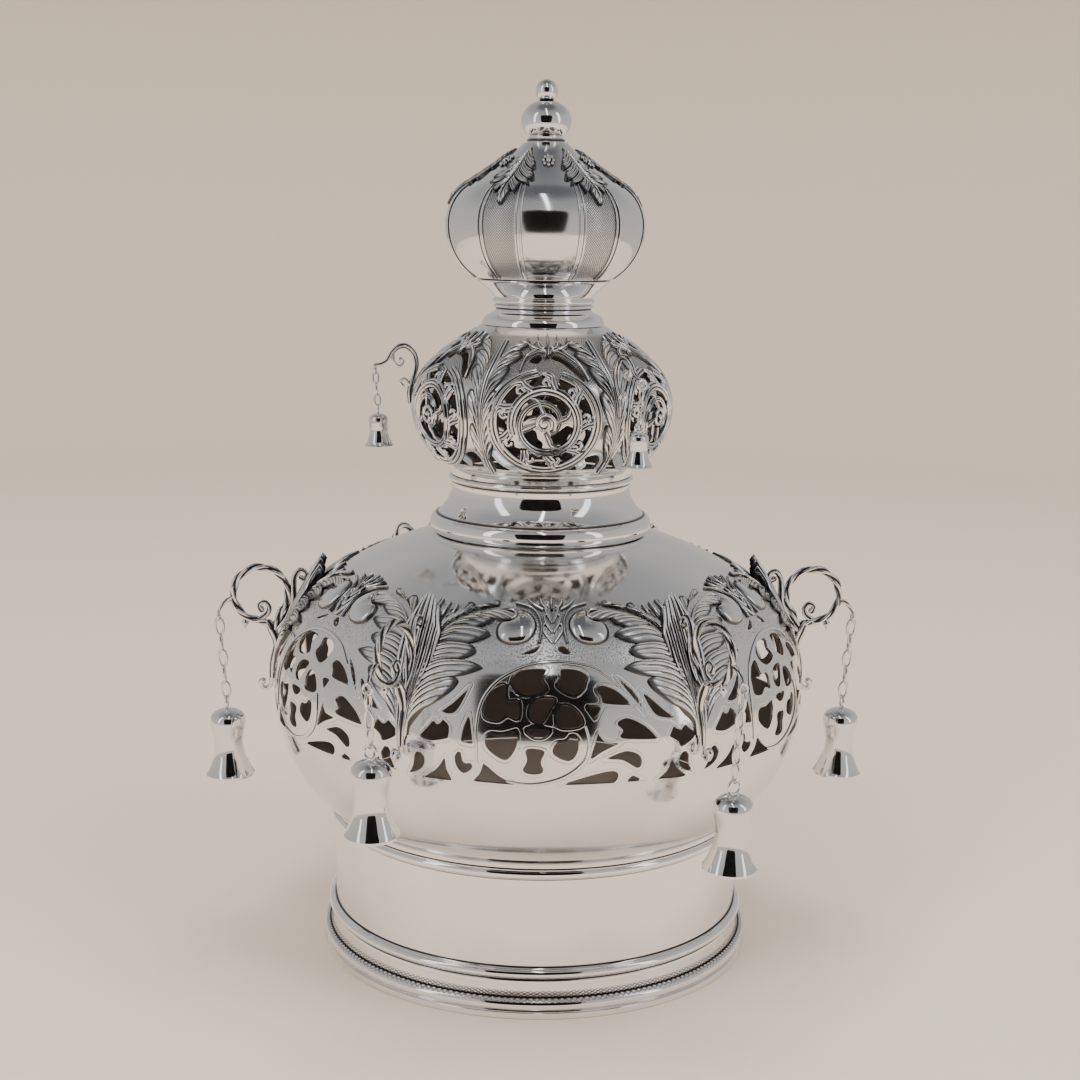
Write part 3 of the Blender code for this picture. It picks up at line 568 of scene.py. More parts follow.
def turning_tree():
    """Turns a profile round the crown's axis: a circle carries it, and its points on the axis merge"""
    tree = Tree("turned_form")
    steps = tree.input("Steps", "NodeSocketInt", 192)
    offset = tree.input("Offset", "NodeSocketFloat", 0.01)
    profile = tree.node("GeometryNodeMeshToCurve", {}, {"Mesh": tree.start.outputs[0]})
    circle = tree.node("GeometryNodeCurvePrimitiveCircle", {}, {"Resolution": steps, "Radius": offset})
    swept = tree.node("GeometryNodeCurveToMesh", {}, {"Curve": circle, "Profile Curve": profile})
    merged = tree.node("GeometryNodeMergeByDistance", {}, {"Geometry": swept, "Distance": 0.00001})
    return tree.end(merged)


def chain_tree():
    """Hangs oval links under one another, each a quarter turn from the last"""
    tree = Tree("hung_chain")
    count = tree.input("Links", "NodeSocketInt", 5)
    pitch = tree.input("Pitch", "NodeSocketFloat", 0.0069)
    half_length = tree.input("Half length", "NodeSocketFloat", 0.0036)
    half_width = tree.input("Half width", "NodeSocketFloat", 0.0017)
    wire = tree.input("Wire", "NodeSocketFloat", 0.0006)
    track = tree.node("GeometryNodeCurvePrimitiveCircle", {}, {"Resolution": 20, "Radius": 1.0})
    size = tree.node("ShaderNodeCombineXYZ", {}, {"X": half_width, "Y": half_length, "Z": 1.0})
    oval = tree.node("GeometryNodeTransform", {}, {"Geometry": track, "Scale": size})
    upright = tree.node("GeometryNodeTransform", {},
                        {"Geometry": oval, "Rotation": (math.pi / 2, 0, math.pi / 2)})
    rod = tree.node("GeometryNodeCurvePrimitiveCircle", {}, {"Resolution": 8, "Radius": wire})
    link = tree.node("GeometryNodeCurveToMesh", {}, {"Curve": upright, "Profile Curve": rod})
    down = tree.node("ShaderNodeMath", {"operation": "MULTIPLY"}, {0: pitch, 1: -1.0})
    step = tree.node("ShaderNodeCombineXYZ", {}, {"Z": down})
    first = tree.node("ShaderNodeMath", {"operation": "MULTIPLY"}, {0: half_length, 1: -1.0})
    start = tree.node("ShaderNodeCombineXYZ", {}, {"Z": first})
    line = tree.node("GeometryNodeMeshLine", {"mode": "OFFSET"},
                     {"Count": count, "Start Location": start, "Offset": step})
    index = tree.node("GeometryNodeInputIndex")
    odd = tree.node("ShaderNodeMath", {"operation": "MODULO"}, {0: index, 1: 2.0})
    quarter = tree.node("ShaderNodeMath", {"operation": "MULTIPLY"}, {0: odd, 1: math.pi / 2})
    turn = tree.node("ShaderNodeCombineXYZ", {}, {"Z": quarter})
    links = tree.node("GeometryNodeInstanceOnPoints", {},
                      {"Points": line, "Instance": link, "Rotation": turn})
    return tree.end(links)


TREES = {}


def tree(name):
    """A Geometry Nodes tree, made when it is first asked for"""
    if name not in TREES:
        TREES[name] = turning_tree() if name == "turned" else chain_tree()
    return TREES[name]


def turned(points, material, closed=True, steps=None):
    """A spun piece from its profile of radius and height"""
    offset = 10.0
    base = bpy.data.meshes.new("profile")
    edges = [(i, i + 1) for i in range(len(points) - 1)]
    if closed:
        edges.append((len(points) - 1, 0))
    base.from_pydata([((r - offset) * MM, -z * MM, 0) for r, z in points], edges, [])
    steps = steps or bpy.context.scene.crown_sizes.turned_steps
    mesh = tree("turned").run(base, {"Steps": steps, "Offset": offset * MM, "Material": material})
    mesh.shade_smooth()
    mesh.set_sharp_from_angle(angle=math.radians(35))
    return outward(mesh)


# Chased and pierced walls

class Wall:
    """A pierced wall: fine where it is pierced, plain above and below, open where its field says"""

    def __init__(self, outline, thickness, low, fine, high, columns, coarse):
        self.outline = outline
        self.thickness = thickness
        self.columns = columns
        self.coarse = coarse
        self.low, self.fine, self.high = low, fine, high

    def mesh(self, field):
        """The closed mesh; field gives the distance to the nearest opening at azimuths and distances"""
        span = 360 / self.columns
        turns, levels = np.meshgrid(np.arange(self.columns) * span, self.fine)
        metal = field(in_panel(turns), levels)
        rows = len(self.fine)
        index = np.arange(rows * self.columns).reshape(rows, self.columns)
        right = np.roll(index, -1, axis=1)
        lower = np.stack([index[:-1], right[:-1], right[1:]], -1).reshape(-1, 3)
        upper = np.stack([index[:-1], right[1:], index[1:]], -1).reshape(-1, 3)
        flat = metal.ravel()
        faces, turns, levels, flat = self.clip(np.vstack([lower, upper]), turns.ravel(), levels.ravel(),
                                               flat)
        turns, levels, flat = list(turns), list(levels), list(flat)
        wide = self.columns // self.coarse
        for bands, edge in ((self.low[::-1], index[0]), (self.high, index[-1])):
            rising = bands[0] > self.fine[0]
            before = None
            for level in bands:
                ring = list(range(len(turns), len(turns) + wide))
                turns += [k * span * self.coarse for k in range(wide)]
                levels += [level] * wide
                flat += [FAR] * wide
                for k in range(wide):
                    m = (k + 1) % wide
                    if before is None:
                        near = [edge[(k * self.coarse + s) % self.columns] for s in range(self.coarse + 1)]
                    else:
                        near = [before[k], before[m]]
                    face = near + [ring[m], ring[k]]
                    faces.append(face if rising else face[::-1])
                before = ring
        return self.closed(faces, np.array(turns), np.array(levels), np.array(flat))

    def clip(self, triangles, turns, levels, flat):
        """Cuts triangles along the field's zero line"""
        solid = flat > 0
        count = solid[triangles].sum(1)
        faces = [list(t) for t in triangles[count == 3]]
        mixed = triangles[(count == 1) | (count == 2)]
        alone = np.where(solid[mixed].sum(1)[:, None] == 1, solid[mixed], ~solid[mixed])
        first = alone.argmax(1)
        rolled = np.stack([mixed[np.arange(len(mixed)), (first + k) % 3] for k in range(3)], -1)
        pairs = np.stack([rolled[:, [0, 1]], rolled[:, [0, 2]]], 1)
        keys = np.sort(pairs, axis=2).reshape(-1, 2)
        unique, where = np.unique(keys, axis=0, return_inverse=True)
        where = where.reshape(-1, 2) + len(turns)
        a, b = unique.T
        share = np.clip(flat[a] / (flat[a] - flat[b]), 0.06, 0.94)
        swing = (turns[b] - turns[a] + 180) % 360 - 180
        turns = np.concatenate([turns, turns[a] + share * swing])
        levels = np.concatenate([levels, levels[a] + share * (levels[b] - levels[a])])
        for corner, cut in zip(rolled, where):
            if solid[corner[0]]:
                faces.append([corner[0], cut[0], cut[1]])
            else:
                faces.append([cut[0], corner[1], corner[2], cut[1]])
        return faces, turns, levels, np.concatenate([flat, np.zeros(len(unique))])

    def closed(self, faces, turns, levels, flat):
        """Adds the inner side and the cut edges"""
        used = np.unique(np.concatenate([np.asarray(f) for f in faces]))
        fresh = np.full(len(turns), -1)
        fresh[used] = np.arange(len(used))
        faces = [[int(fresh[i]) for i in face] for face in faces]
        turns, levels, flat = turns[used], levels[used], flat[used]
        outer = self.outline.place_on(turns, levels, np.zeros(len(used)))
        inner = self.outline.place_on(turns, levels, np.full(len(used), -self.thickness))
        count = len(used)
        directed = {(a, b) for face in faces for a, b in zip(face, face[1:] + face[:1])}
        sides = [[b, a, a + count, b + count] for a, b in directed if (b, a) not in directed]
        back = [[i + count for i in reversed(face)] for face in faces]
        edge = np.clip(np.concatenate([flat, flat]), 0, FAR)
        inside = np.concatenate([np.zeros(count), np.ones(count)])
        return mesh_from(np.vstack([outer, inner]), faces + sides + back, {"edge": edge, "inside": inside},
                         sharp=50)


def loop_field(across, up, loop):
    """How far places are outside a closed loop, negative inside it, in the loop's own units"""
    result = np.full(across.shape, FAR)
    reach = 6.0
    near = ((across > loop[:, 0].min() - reach) & (across < loop[:, 0].max() + reach)
            & (up > loop[:, 1].min() - reach) & (up < loop[:, 1].max() + reach))
    x, y = across[near], up[near]
    distance = np.full(x.shape, 1e9)
    crossings = np.zeros(x.shape, int)
    for (x0, y0), (x1, y1) in zip(loop, np.roll(loop, -1, axis=0)):
        dx, dy = x1 - x0, y1 - y0
        share = np.clip(((x - x0) * dx + (y - y0) * dy) / max(dx * dx + dy * dy, 1e-12), 0, 1)
        distance = np.minimum(distance, np.hypot(x - x0 - share * dx, y - y0 - share * dy))
        if y0 != y1:
            crossings += ((y0 > y) != (y1 > y)) & (x < x0 + (y - y0) * dx / dy)
    result[near] = np.where(crossings % 2 == 1, -distance, distance)
    return result


def piercing(openings, start, reference):
    """A wall's field for one panel's openings, each a loop of azimuths and distances above start"""
    degree = math.radians(reference)
    loops = [closed_curve(corners) * (degree, 1.0) + (0, start) for corners in openings]

    def field(azimuth, distance):
        """How far places are outside the nearest opening, negative inside one, in millimetres"""
        nearest = np.full(azimuth.shape, FAR)
        for loop in loops:
            nearest = np.minimum(nearest, loop_field(azimuth * degree, distance, loop))
        return nearest

    return field


class Relief:
    """Chased forms on a wall, each a closed patch that is sunk a little into it"""

    def __init__(self, outline, start, reference, sink=0.5):
        self.outline = outline
        self.start = start
        self.degree = math.radians(reference)
        self.sink = sink
        self.points, self.faces, self.values = [], [], []
        self.count = 0

    def patch(self, turns, levels, heights, oxide_and_shade_mask, mirror=False):
        """A grid of azimuths and distances with heights, repeated in each panel and mirrored if asked"""
        rows, columns = turns.shape
        grid = np.arange(rows * columns).reshape(rows, columns)
        quads = np.stack([grid[:-1, :-1], grid[:-1, 1:], grid[1:, 1:], grid[1:, :-1]], -1).reshape(-1, 4)
        area = np.sum((turns[:-1, 1:] - turns[:-1, :-1]) * (levels[1:, :-1] - levels[:-1, :-1])
                      - (turns[1:, :-1] - turns[:-1, :-1]) * (levels[:-1, 1:] - levels[:-1, :-1]))
        size = rows * columns
        under = np.arange(2 * columns).reshape(2, columns) + size
        walls = [np.stack([under[0, :-1], under[0, 1:], grid[0, 1:], grid[0, :-1]], -1),
                 np.stack([under[1, 1:], under[1, :-1], grid[-1, :-1], grid[-1, 1:]], -1),
                 np.stack([under[1, :-1], under[1, 1:], under[0, 1:], under[0, :-1]], -1),
                 np.concatenate([under[:, -1], grid[::-1, -1]])[None],
                 np.concatenate([under[::-1, 0], grid[:, 0]])[None]]
        for sign in ((1, -1) if mirror else (1,)):
            faces = [f if area * sign > 0 else f[:, ::-1] for f in [quads] + walls]
            for panel in range(PANELS):
                azimuth = sign * turns + panel * 360 / PANELS
                levels_up = self.start + levels
                top = self.outline.place_on(azimuth, levels_up, heights)
                base = self.outline.place_on(azimuth[[0, -1]], levels_up[[0, -1]],
                                             np.full((2, columns), -self.sink))
                self.points += [top.reshape(-1, 3), base.reshape(-1, 3)]
                self.values += [oxide_and_shade_mask.ravel(), np.ones(2 * columns)]
                self.faces += [f + self.count for f in faces]
                self.count += size + 2 * columns

    def ribbon(self, path, width, height, grooves=1, mirror=False, count=40, dark=1.0):
        """A raised stem along a path; width and height are numbers or lists along it"""
        track = smooth(path, count)
        share = np.linspace(0, 1, count)
        widths = np.interp(share, np.linspace(0, 1, np.size(width)), np.atleast_1d(width))
        heights = np.interp(share, np.linspace(0, 1, np.size(height)), np.atleast_1d(height))
        local = track * np.array([self.degree, 1.0])
        along = np.gradient(local, axis=0)
        along /= np.maximum(np.linalg.norm(along, axis=1, keepdims=True), 1e-9)
        across = np.stack([along[:, 1], -along[:, 0]], -1)
        steps = np.linspace(-1, 1, 4 * grooves + 3)
        spots = local[None] + steps[:, None, None] * across[None] * widths[None, :, None]
        dome = np.sqrt(np.clip(1 - 0.92 * steps ** 2, 0, 1))
        wave = np.abs(np.cos(steps * math.pi * grooves / 2)) if grooves > 1 else np.ones(len(steps))
        profile = dome * (0.45 + 0.55 * wave)
        dark_at = np.clip(1.15 - 1.3 * wave, 0, 1) if grooves > 1 else np.zeros(len(steps))
        dark_at = np.maximum(dark_at, (np.abs(steps) > 0.97) * dark)
        self.patch(spots[..., 0] / self.degree, spots[..., 1], profile[:, None] * heights[None],
                   dark_at[:, None] * np.ones(count)[None], mirror)

    def boss(self, loop, height, mirror=False, centre=None, rows=9, rim=0.25):
        """A smooth swelling inside a closed loop, with a dark line round it"""
        loop = closed_curve(loop, 5)
        loop = np.vstack([loop, loop[:1]])
        middle = np.array(centre) if centre is not None else loop[:-1].mean(0)
        share = np.linspace(0, 1, rows)[:, None, None] ** 0.8
        spots = loop[None] * (1 - share * 0.98) + middle * share * 0.98
        heights = rim + (height - rim) * np.sqrt(np.clip(1 - (1 - share[..., 0]) ** 2, 0, 1))
        heights = heights * np.ones(len(loop))[None]
        oxide_and_shade_mask = np.zeros(heights.shape)
        oxide_and_shade_mask[0] = 1.0
        self.patch(spots[..., 0], spots[..., 1], heights, oxide_and_shade_mask, mirror)

    def leaf(self, spine, edge, relief, flutes, depth, mirror=False, rows=15, spring=0.55, curl=0.35):
        """An acanthus leaf: flutes spring along its spine and run to the lobes of its edge.

        edge lists a notch, a tip, a notch and so on, each an azimuth, a distance and the tips' bluntness.
        """
        track = smooth(spine, 60)
        marks = np.linspace(0, 1, 60)
        local_track = track * np.array([self.degree, 1.0])
        slope = np.gradient(local_track, axis=0)
        slope /= np.linalg.norm(slope, axis=1, keepdims=True)
        lobes = (len(edge) - 1) // 2
        ease = np.linspace(0, 1, rows)[:, None]
        run = 1 - (1 - ease) ** 1.15
        turns, levels, lifts, darks = [], [], [], []
        for lobe in range(lobes):
            low, tip, high = (np.array(p[:2], float) * (self.degree, 1.0)
                              for p in edge[2 * lobe:2 * lobe + 3])
            blunt = edge[2 * lobe + 1][2] if len(edge[2 * lobe + 1]) > 2 else 0.5
            x = np.linspace(0, 1, 4 * flutes + 1)[:-1]
            if lobe == lobes - 1:
                x = np.append(x, 1.0)
            bump = (1 - np.abs(2 * x - 1) ** (1 / blunt)) ** (0.5 + 0.5 * (1 - blunt))
            base = low + (high - low) * x[:, None]
            out = tip - (low + high) / 2
            rim = base + out * bump[:, None]
            place = (lobe + x) / lobes
            root = np.stack([np.interp(place * 0.92, marks, local_track[:, k]) for k in (0, 1)], -1)
            lean = np.stack([np.interp(place * 0.92, marks, slope[:, k]) for k in (0, 1)], -1)
            reach = np.linalg.norm(rim - root, axis=1, keepdims=True)
            middle = root + lean * reach * spring
            spots = ((1 - run)[..., None] ** 2 * root[None] + (2 * run * (1 - run))[..., None] * middle[None]
                     + run[..., None] ** 2 * rim[None])
            wave = np.abs(np.sin(math.pi * flutes * x)) ** 0.7
            notch = np.minimum(1, np.minimum(x, 1 - x) * 6)
            body = np.sin(np.clip(run * 1.25 + 0.18, 0, 1.2) * math.pi / 1.5) + curl * run ** 4
            groove = (1 - depth * (1 - wave[None]) * (0.35 + 0.65 * (1 - run ** 3)))
            groove = groove * (1 - 0.5 * (1 - notch[None]) * run)
            lift = 0.25 + relief * body * groove * (1 - 0.45 * run ** 6)
            dark = np.clip(1 - 1.5 * wave, 0, 1)[None] * (1 - 0.45 * run)
            dark = np.maximum(dark, (1 - notch[None]) * run * 0.9)
            dark[-1] = 1.0
            dark[-2] = np.maximum(dark[-2], 0.55)
            turns.append(spots[..., 0] / self.degree)
            levels.append(spots[..., 1])
            lifts.append(lift)
            darks.append(dark)
        self.patch(np.hstack(turns), np.hstack(levels), np.hstack(lifts), np.hstack(darks), mirror)

    def mesh(self):
        """The mesh of all the patches"""
        return mesh_from(np.vstack(self.points), [f for block in self.faces for f in block.tolist()],
                         {"oxide_and_shade_mask": np.concatenate(self.values)}, sharp=60)


# Materials

class Shader(Nodes):
    """A material and the means to add nodes to it"""

    def __init__(self, name):
        self.material = bpy.data.materials.new(name)
        self.material.use_nodes = True
        self.tree = self.material.node_tree
        self.surface = self.tree.nodes["Principled BSDF"]

    def node(self, kind, settings=None, values=None, output=0):
        """A node, whose output is given as a value that arithmetic works on"""
        return Sum(self, super().node(kind, settings, values, output))

    def set(self, name, value):
        """A value or a link on the surface shader"""
        if isinstance(value, Sum):
            self.tree.links.new(value.socket, self.surface.inputs[name])
        else:
            self.surface.inputs[name].default_value = value

    def attribute(self, name):
        """A named value of the mesh"""
        return self.node("ShaderNodeAttribute", {"attribute_name": name}, {}, 2)

    def mixed(self, share, first, second):
        """A colour between two"""
        first = tuple(first) + (1,) if not isinstance(first, Sum) else first
        second = tuple(second) + (1,) if not isinstance(second, Sum) else second
        return self.node("ShaderNodeMix", {"data_type": "RGBA"}, {0: share, 6: first, 7: second}, 2)

    def hatching(self, objects, step):
        """Crossed furrows round the crown's axis, 1 in a furrow and 0 between"""
        x, y, z = (self.node("ShaderNodeSeparateXYZ", {}, {"Vector": objects}, k) for k in range(3))
        turn = x.math("ARCTAN2", y * -1.0) * HATCH_RADIUS
        first = ((turn + z) * (math.pi / step)).math("SINE").math("ABSOLUTE")
        second = ((turn - z) * (math.pi / step)).math("SINE").math("ABSOLUTE")
        return 1 - first.math("MINIMUM", second).band(0.2, 0.8)

    def noise(self, scale, vector):
        """Plain noise in the piece's own coordinates"""
        return self.node("ShaderNodeTexNoise", {}, {"Vector": vector, "Scale": scale, "Detail": 1.0})


def silver(name, colour, roughness, darkest, grounds):
    """Silver that darkens with oxide in its recesses and with painted shade in its grooves and inner sides,
    with the grounds and chased lines that its pieces name
    """
    colours = bpy.context.scene.crown_colours
    shader = Shader(name)
    objects = shader.node("ShaderNodeTexCoord", {}, {}, 3)
    cloud = shader.noise(35, objects)
    inside = shader.attribute("inside")
    # Oxide in the chased and cast recesses, and painted shade in the turned grooves, the cast flutes and
    # under the palmette
    dark = shader.attribute("oxide_and_shade_mask").band(0.08, 0.7) * darkest
    rough = roughness + 0.06 * cloud.band(0.35, 0.75) + 0.4 * inside
    heights = []
    if "lines" in grounds:
        edge = shader.attribute("edge")
        line = edge.band(0.75, 1.0) * (1 - edge.band(1.1, 1.3)) * shader.attribute("lines")
        dark = dark + 0.12 * line
        heights.append(-0.3 * line)
    if "ground" in grounds:
        ground = shader.attribute("ground")
        pits = shader.node("ShaderNodeTexVoronoi", {}, {"Vector": objects, "Scale": 1100.0}).band(0.1, 0.5)
        dark = dark + 0.5 * ground * (1 - pits)
        rough = rough + 0.15 * ground
        heights.append(0.5 * ground * pits)
    if "hatch" in grounds:
        hatch = shader.attribute("hatch")
        furrows = shader.hatching(objects, HATCH_STEP)
        dark = dark + 0.8 * hatch * furrows
        rough = rough + 0.15 * hatch
        heights.append(-0.6 * hatch * furrows)
    dark = dark.clamped()
    outside = shader.mixed(cloud.band(0.3, 0.8), colour, [c * 0.94 for c in colour])
    # Painted shade: the inner sides take the darker inner colour
    tone_and_inner_shade = shader.mixed(inside, outside, INNER_SHADE_COLOUR)
    shader.set("Base Color", shader.mixed(dark, tone_and_inner_shade, colours.oxide_and_shade_colour))
    shader.set("Metallic", 1.0)
    shader.set("Roughness", (rough + 0.25 * dark).clamped())
    if heights:
        shader.set("Normal", shader.node("ShaderNodeBump", {}, {"Height": sum(heights), "Strength": 0.35,
                                                                "Distance": 0.0004}))
    return shader.material


def backdrop_material():
    """Matt warm paper with painted shade, a little darker towards the top of the sweep"""
    colours = bpy.context.scene.crown_colours
    shader = Shader("studio_paper")
    objects = shader.node("ShaderNodeTexCoord", {}, {}, 3)
    height = shader.node("ShaderNodeSeparateXYZ", {}, {"Vector": objects}, 2)
    rise = height.band(0.0, 1.6)
    pale = tuple(colours.backdrop)
    shade = tuple(c * f for c, f in zip(pale, (0.66, 0.66, 0.64)))
    grain = shader.noise(60, objects)
    shader.set("Base Color", shader.mixed(rise, pale, shade))
    shader.set("Roughness", 0.85 + 0.05 * grain)
    return shader.material


# Each slot's colour, roughness, how dark its oxide and painted shade get and the grounds that its material
# carries
FINISHES = {"polished_silver": ("silver", 0.035, 0.96, ("hatch",)),
            "chased_silver": ("chased", 0.09, 0.9, ("lines", "ground", "hatch")),
            "cast_silver": ("chased", 0.12, 0.98, ()),
            "wire_silver": ("chased", 0.14, 0.96, ())}


MATERIALS = {}


def material(slot):
    """The material of a slot, made when it is first asked for"""
    if slot not in MATERIALS:
        colour, roughness, darkest, grounds = FINISHES[slot]
        colour = tuple(getattr(bpy.context.scene.crown_colours, colour))
        MATERIALS[slot] = silver(slot, colour, roughness, darkest, grounds)
    return MATERIALS[slot]


def finish(name, mesh, nodes, slot):
    """An object for a finished mesh, riding with the crown and standing for its solids"""
    mesh.name = name
    piece = bpy.data.objects.new(name, mesh)
    bpy.context.scene.collection.objects.link(piece)
    mesh.materials.clear()
    mesh.materials.append(material(slot))
    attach(piece, "root")
    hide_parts(*nodes)
    return piece


# Outlines of the vessels

def bowl_outline():
    """The bowl's side, from its short necking to the flat seat of the waist"""
    side = bulge((BOWL_FOOT, BOWL_Z + BOWL_LIP), (BOWL_RADIUS, BOWL_Z + BOWL_BELLY), BOWL_SHOULDER,
                 (FLANGE_RADIUS, BOWL_TOP))
    return Outline([(BOWL_FOOT, BOWL_Z)] + side + [(FLANGE_RADIUS - 4, BOWL_TOP)])


def globe_outline():
    """The globe's side, from its upright lip to the flat seat of the neck"""
    side = bulge((GLOBE_FOOT + 1, GLOBE_Z + GLOBE_LIP), (GLOBE_RADIUS, GLOBE_Z + GLOBE_BELLY),
                 GLOBE_SHOULDER, (GLOBE_SEAT, GLOBE_TOP))
    return Outline([(GLOBE_FOOT, GLOBE_Z)] + side + [(GLOBE_MOUTH, GLOBE_TOP)])


def dome_outline(wall=0.0):
    """The dome's ogee side, or the line inside it by a wall"""
    shoulder = (DOME_SHOULDER[0] - wall,) + DOME_SHOULDER[1:]
    return bulge((NECK_CUP - wall, DOME_Z), (DOME_RADIUS - wall, DOME_Z + DOME_BELLY), shoulder,
                 (DOME_MOUTH - wall, DOME_TOP - wall))


def spring_point():
    """Where a large bracket's scroll springs from its stem, off the bowl's side"""
    outline = bowl_outline()
    return outline.lifted(outline.distance_at(BOWL_Z + SPRING_RISE), SPRING_OFF)


def hook_foot():
    """The foot of a small bracket, on a rib of the globe's belly"""
    outline = globe_outline()
    return outline.lifted(outline.distance_at(GLOBE_Z + GLOBE_BELLY), RIB_HEIGHT + GAP + 1.0)


def small_eye():
    """The middle of the ring at the end of a small bracket"""
    out, up = hook_foot()
    return (out + SMALL_EYE_AT[0], up + SMALL_EYE_AT[1])


def large_eye():
    """The middle of the ring at the end of a large bracket"""
    out, up = spring_point()
    return (out + LARGE_EYE_AT[0], up + LARGE_EYE_AT[1])


# The bowl's piercing in one panel: azimuths in degrees and distances up the band in millimetres,
# anticlockwise; a corner with a third value is sharp

CARTOUCHE = [
    [(-8.6, 42.9), (-7.6, 39.6), (-5.3, 37.9), (-1.6, 40.1), (-2.5, 44), (-1.6, 47.6), (-5.3, 47.8),
     (-7.6, 46.2)],
    [(1.5, 47.8), (1.4, 44), (0.7, 41.2), (3.8, 37.9), (5.8, 40.1), (6.3, 42.4), (6.7, 45.1), (5.0, 47.4)],
    [(-13.1, 37.9), (-13.6, 33.5), (-13.4, 29.1), (-10.8, 28), (-9.1, 30.2), (-7, 29.1), (-7, 35.2),
     (-9.3, 35.7), (-10.0, 41.6)],
    [(-5, 31.3), (-4.2, 28.6), (-2.5, 28), (-1.3, 31.3), (-0.5, 34), (0.1, 36.3), (-1.9, 36.8),
     (-4.2, 35.2)],
    [(0.4, 31.3), (0.7, 26.6), (2.9, 25.8), (5.3, 26.9), (5, 30.2), (3.3, 33.5), (1.3, 34.1)],
    [(6.4, 33.4, 1), (7.9, 29, 1), (9.3, 33.4, 1)],
    [(8.4, 39.6), (9.3, 36.8), (9.9, 34.4), (15.3, 33.2, 1), (14.2, 36.2), (12.1, 39.6), (9.6, 41.2)],
    [(-12.5, 23), (-13.1, 19.2), (-11.6, 15.9), (-9.3, 13.7), (-7.9, 15.9), (-7, 20.3), (-7.3, 24.7, 1),
     (-9.8, 23.2)],
    [(-5.3, 25.3), (-3.9, 22.4), (-1.9, 22.5), (-0.9, 25.3)],
    [(0.2, 20.3), (-0.2, 16.3), (2.7, 13.7), (4.3, 16.5), (4.5, 21.4), (3.3, 23), (2.2, 20.9)],
    [(-5.3, 18.1), (-5.1, 13.7), (-5.9, 9.9), (-3.9, 8.5), (-2.0, 9.6), (-2.5, 13.4), (-1.9, 17.6)],
    [(8.4, 24.2, 1), (7.3, 17.6), (6.7, 13.7, 1), (9.4, 17), (12.8, 19.8, 1), (9.6, 20.6)],
]
BAND_OPENINGS = [
    [(12.1, 27), (13.3, 24.2), (13, 21.4), (20.5, 19.8, 1), (18.2, 24.7), (14.4, 28.6)],
    [(9.4, 13.8, 1), (13, 13.2), (16.2, 9.6), (17.1, 11.5), (16.4, 14.8), (13.6, 16.5)],
    [(1, 4.4, 1), (11.9, 4.4, 1), (12.5, 7.2), (11.4, 9.2), (7.6, 8.2)],
    [(14, 4.4, 1), (17.9, 4.4, 1), (15.3, 7.0, 1)],
    [(20.5, 4.2, 1), (27.8, 3.4, 1), (25.2, 7.1), (23.6, 12.4, 1), (22.6, 7.2)],
    [(-15.6, 4.7, 1), (-7.4, 4.2, 1), (-10.5, 7.7), (-13.4, 12.4, 1), (-14.1, 8)],
    [(-18.9, 14.3), (-18.7, 10.4), (-17.3, 7.6), (-15.6, 9.6), (-15.7, 12, 1), (-17.2, 11.8), (-17.9, 15.9)],
    [(-17.9, 19.6, 1), (-15.4, 18.8, 1), (-16.4, 30.2, 1), (-17.4, 25.2)],
    [(-22.4, 29.7, 1), (-19.9, 29.5), (-18.5, 32.4), (-16.8, 40.4, 1), (-19.6, 34.2)],
    [(17.6, 38.7, 1), (19, 32.4), (20.7, 28.4), (24.4, 26.8, 1), (21.6, 31.6)],
    [(-26.4, 19.8, 1), (-23.7, 18.7), (-20.4, 20.3, 1), (-20.3, 24.7), (-21.7, 27.2, 1), (-22.6, 24.9),
     (-23.6, 26.6, 1)],
    [(22.9, 20.3, 1), (24.8, 18.1), (25.6, 15.8), (28.2, 18.1), (29.0, 20.3, 1), (26.4, 24.4, 1),
     (25.6, 22.2), (23.9, 24.0, 1)],
    [(-27.5, 9.3), (-28.6, 4.8, 1), (-26.0, 7.2), (-25.1, 10.9), (-26, 13.8), (-27.2, 13.1)],
    [(27.5, 9.3), (27.2, 13.1), (26, 13.8), (25.1, 10.9), (26.0, 7.2), (28.6, 4.8, 1)],
    [(-25.6, 4.1, 1), (-19.4, 4.1, 1), (-20.6, 8.6), (-20.9, 13.7, 1), (-22.6, 8.4)],
    [(12.5, 44.5, 1), (15.2, 37.4), (18.2, 29.6, 1), (16.2, 37.8), (14.0, 42.5)],
    [(-7.8, 53.0, 1), (-4.2, 53.9), (-2.6, 57.5, 1)],
    [(0.7, 56, 1), (2, 53.6), (4.2, 53.4, 1), (2.2, 57.2)],
]


class CrownOperator:
    """What the crown's operators share"""

    bl_options = {"REGISTER", "UNDO"}

    @property
    def sizes(self):
        """The crown's sizes"""
        return bpy.context.scene.crown_sizes

    def spin(self, name, node, points, grooves, closed=True, steps=None, reach=0.5):
        """A plain spun piece, with painted shade in its grooves, in the place of a node's solid"""
        mesh = turned(points, material("polished_silver"), closed, steps)
        # Painted shade: a dark mark in the piece's grooves
        paint_groove_shade(mesh, grooves, reach)
        finish(name, mesh, [node], "polished_silver")

    def cast(self, parts, places, piece, node):
        """A cast bracket at each place, from parts that are drawn at the front"""
        whole = joined(parts)
        for name in places:
            finish(piece + name, turned_round(whole, PLACES[name]), [node + name], "cast_silver")
        bpy.data.meshes.remove(whole)


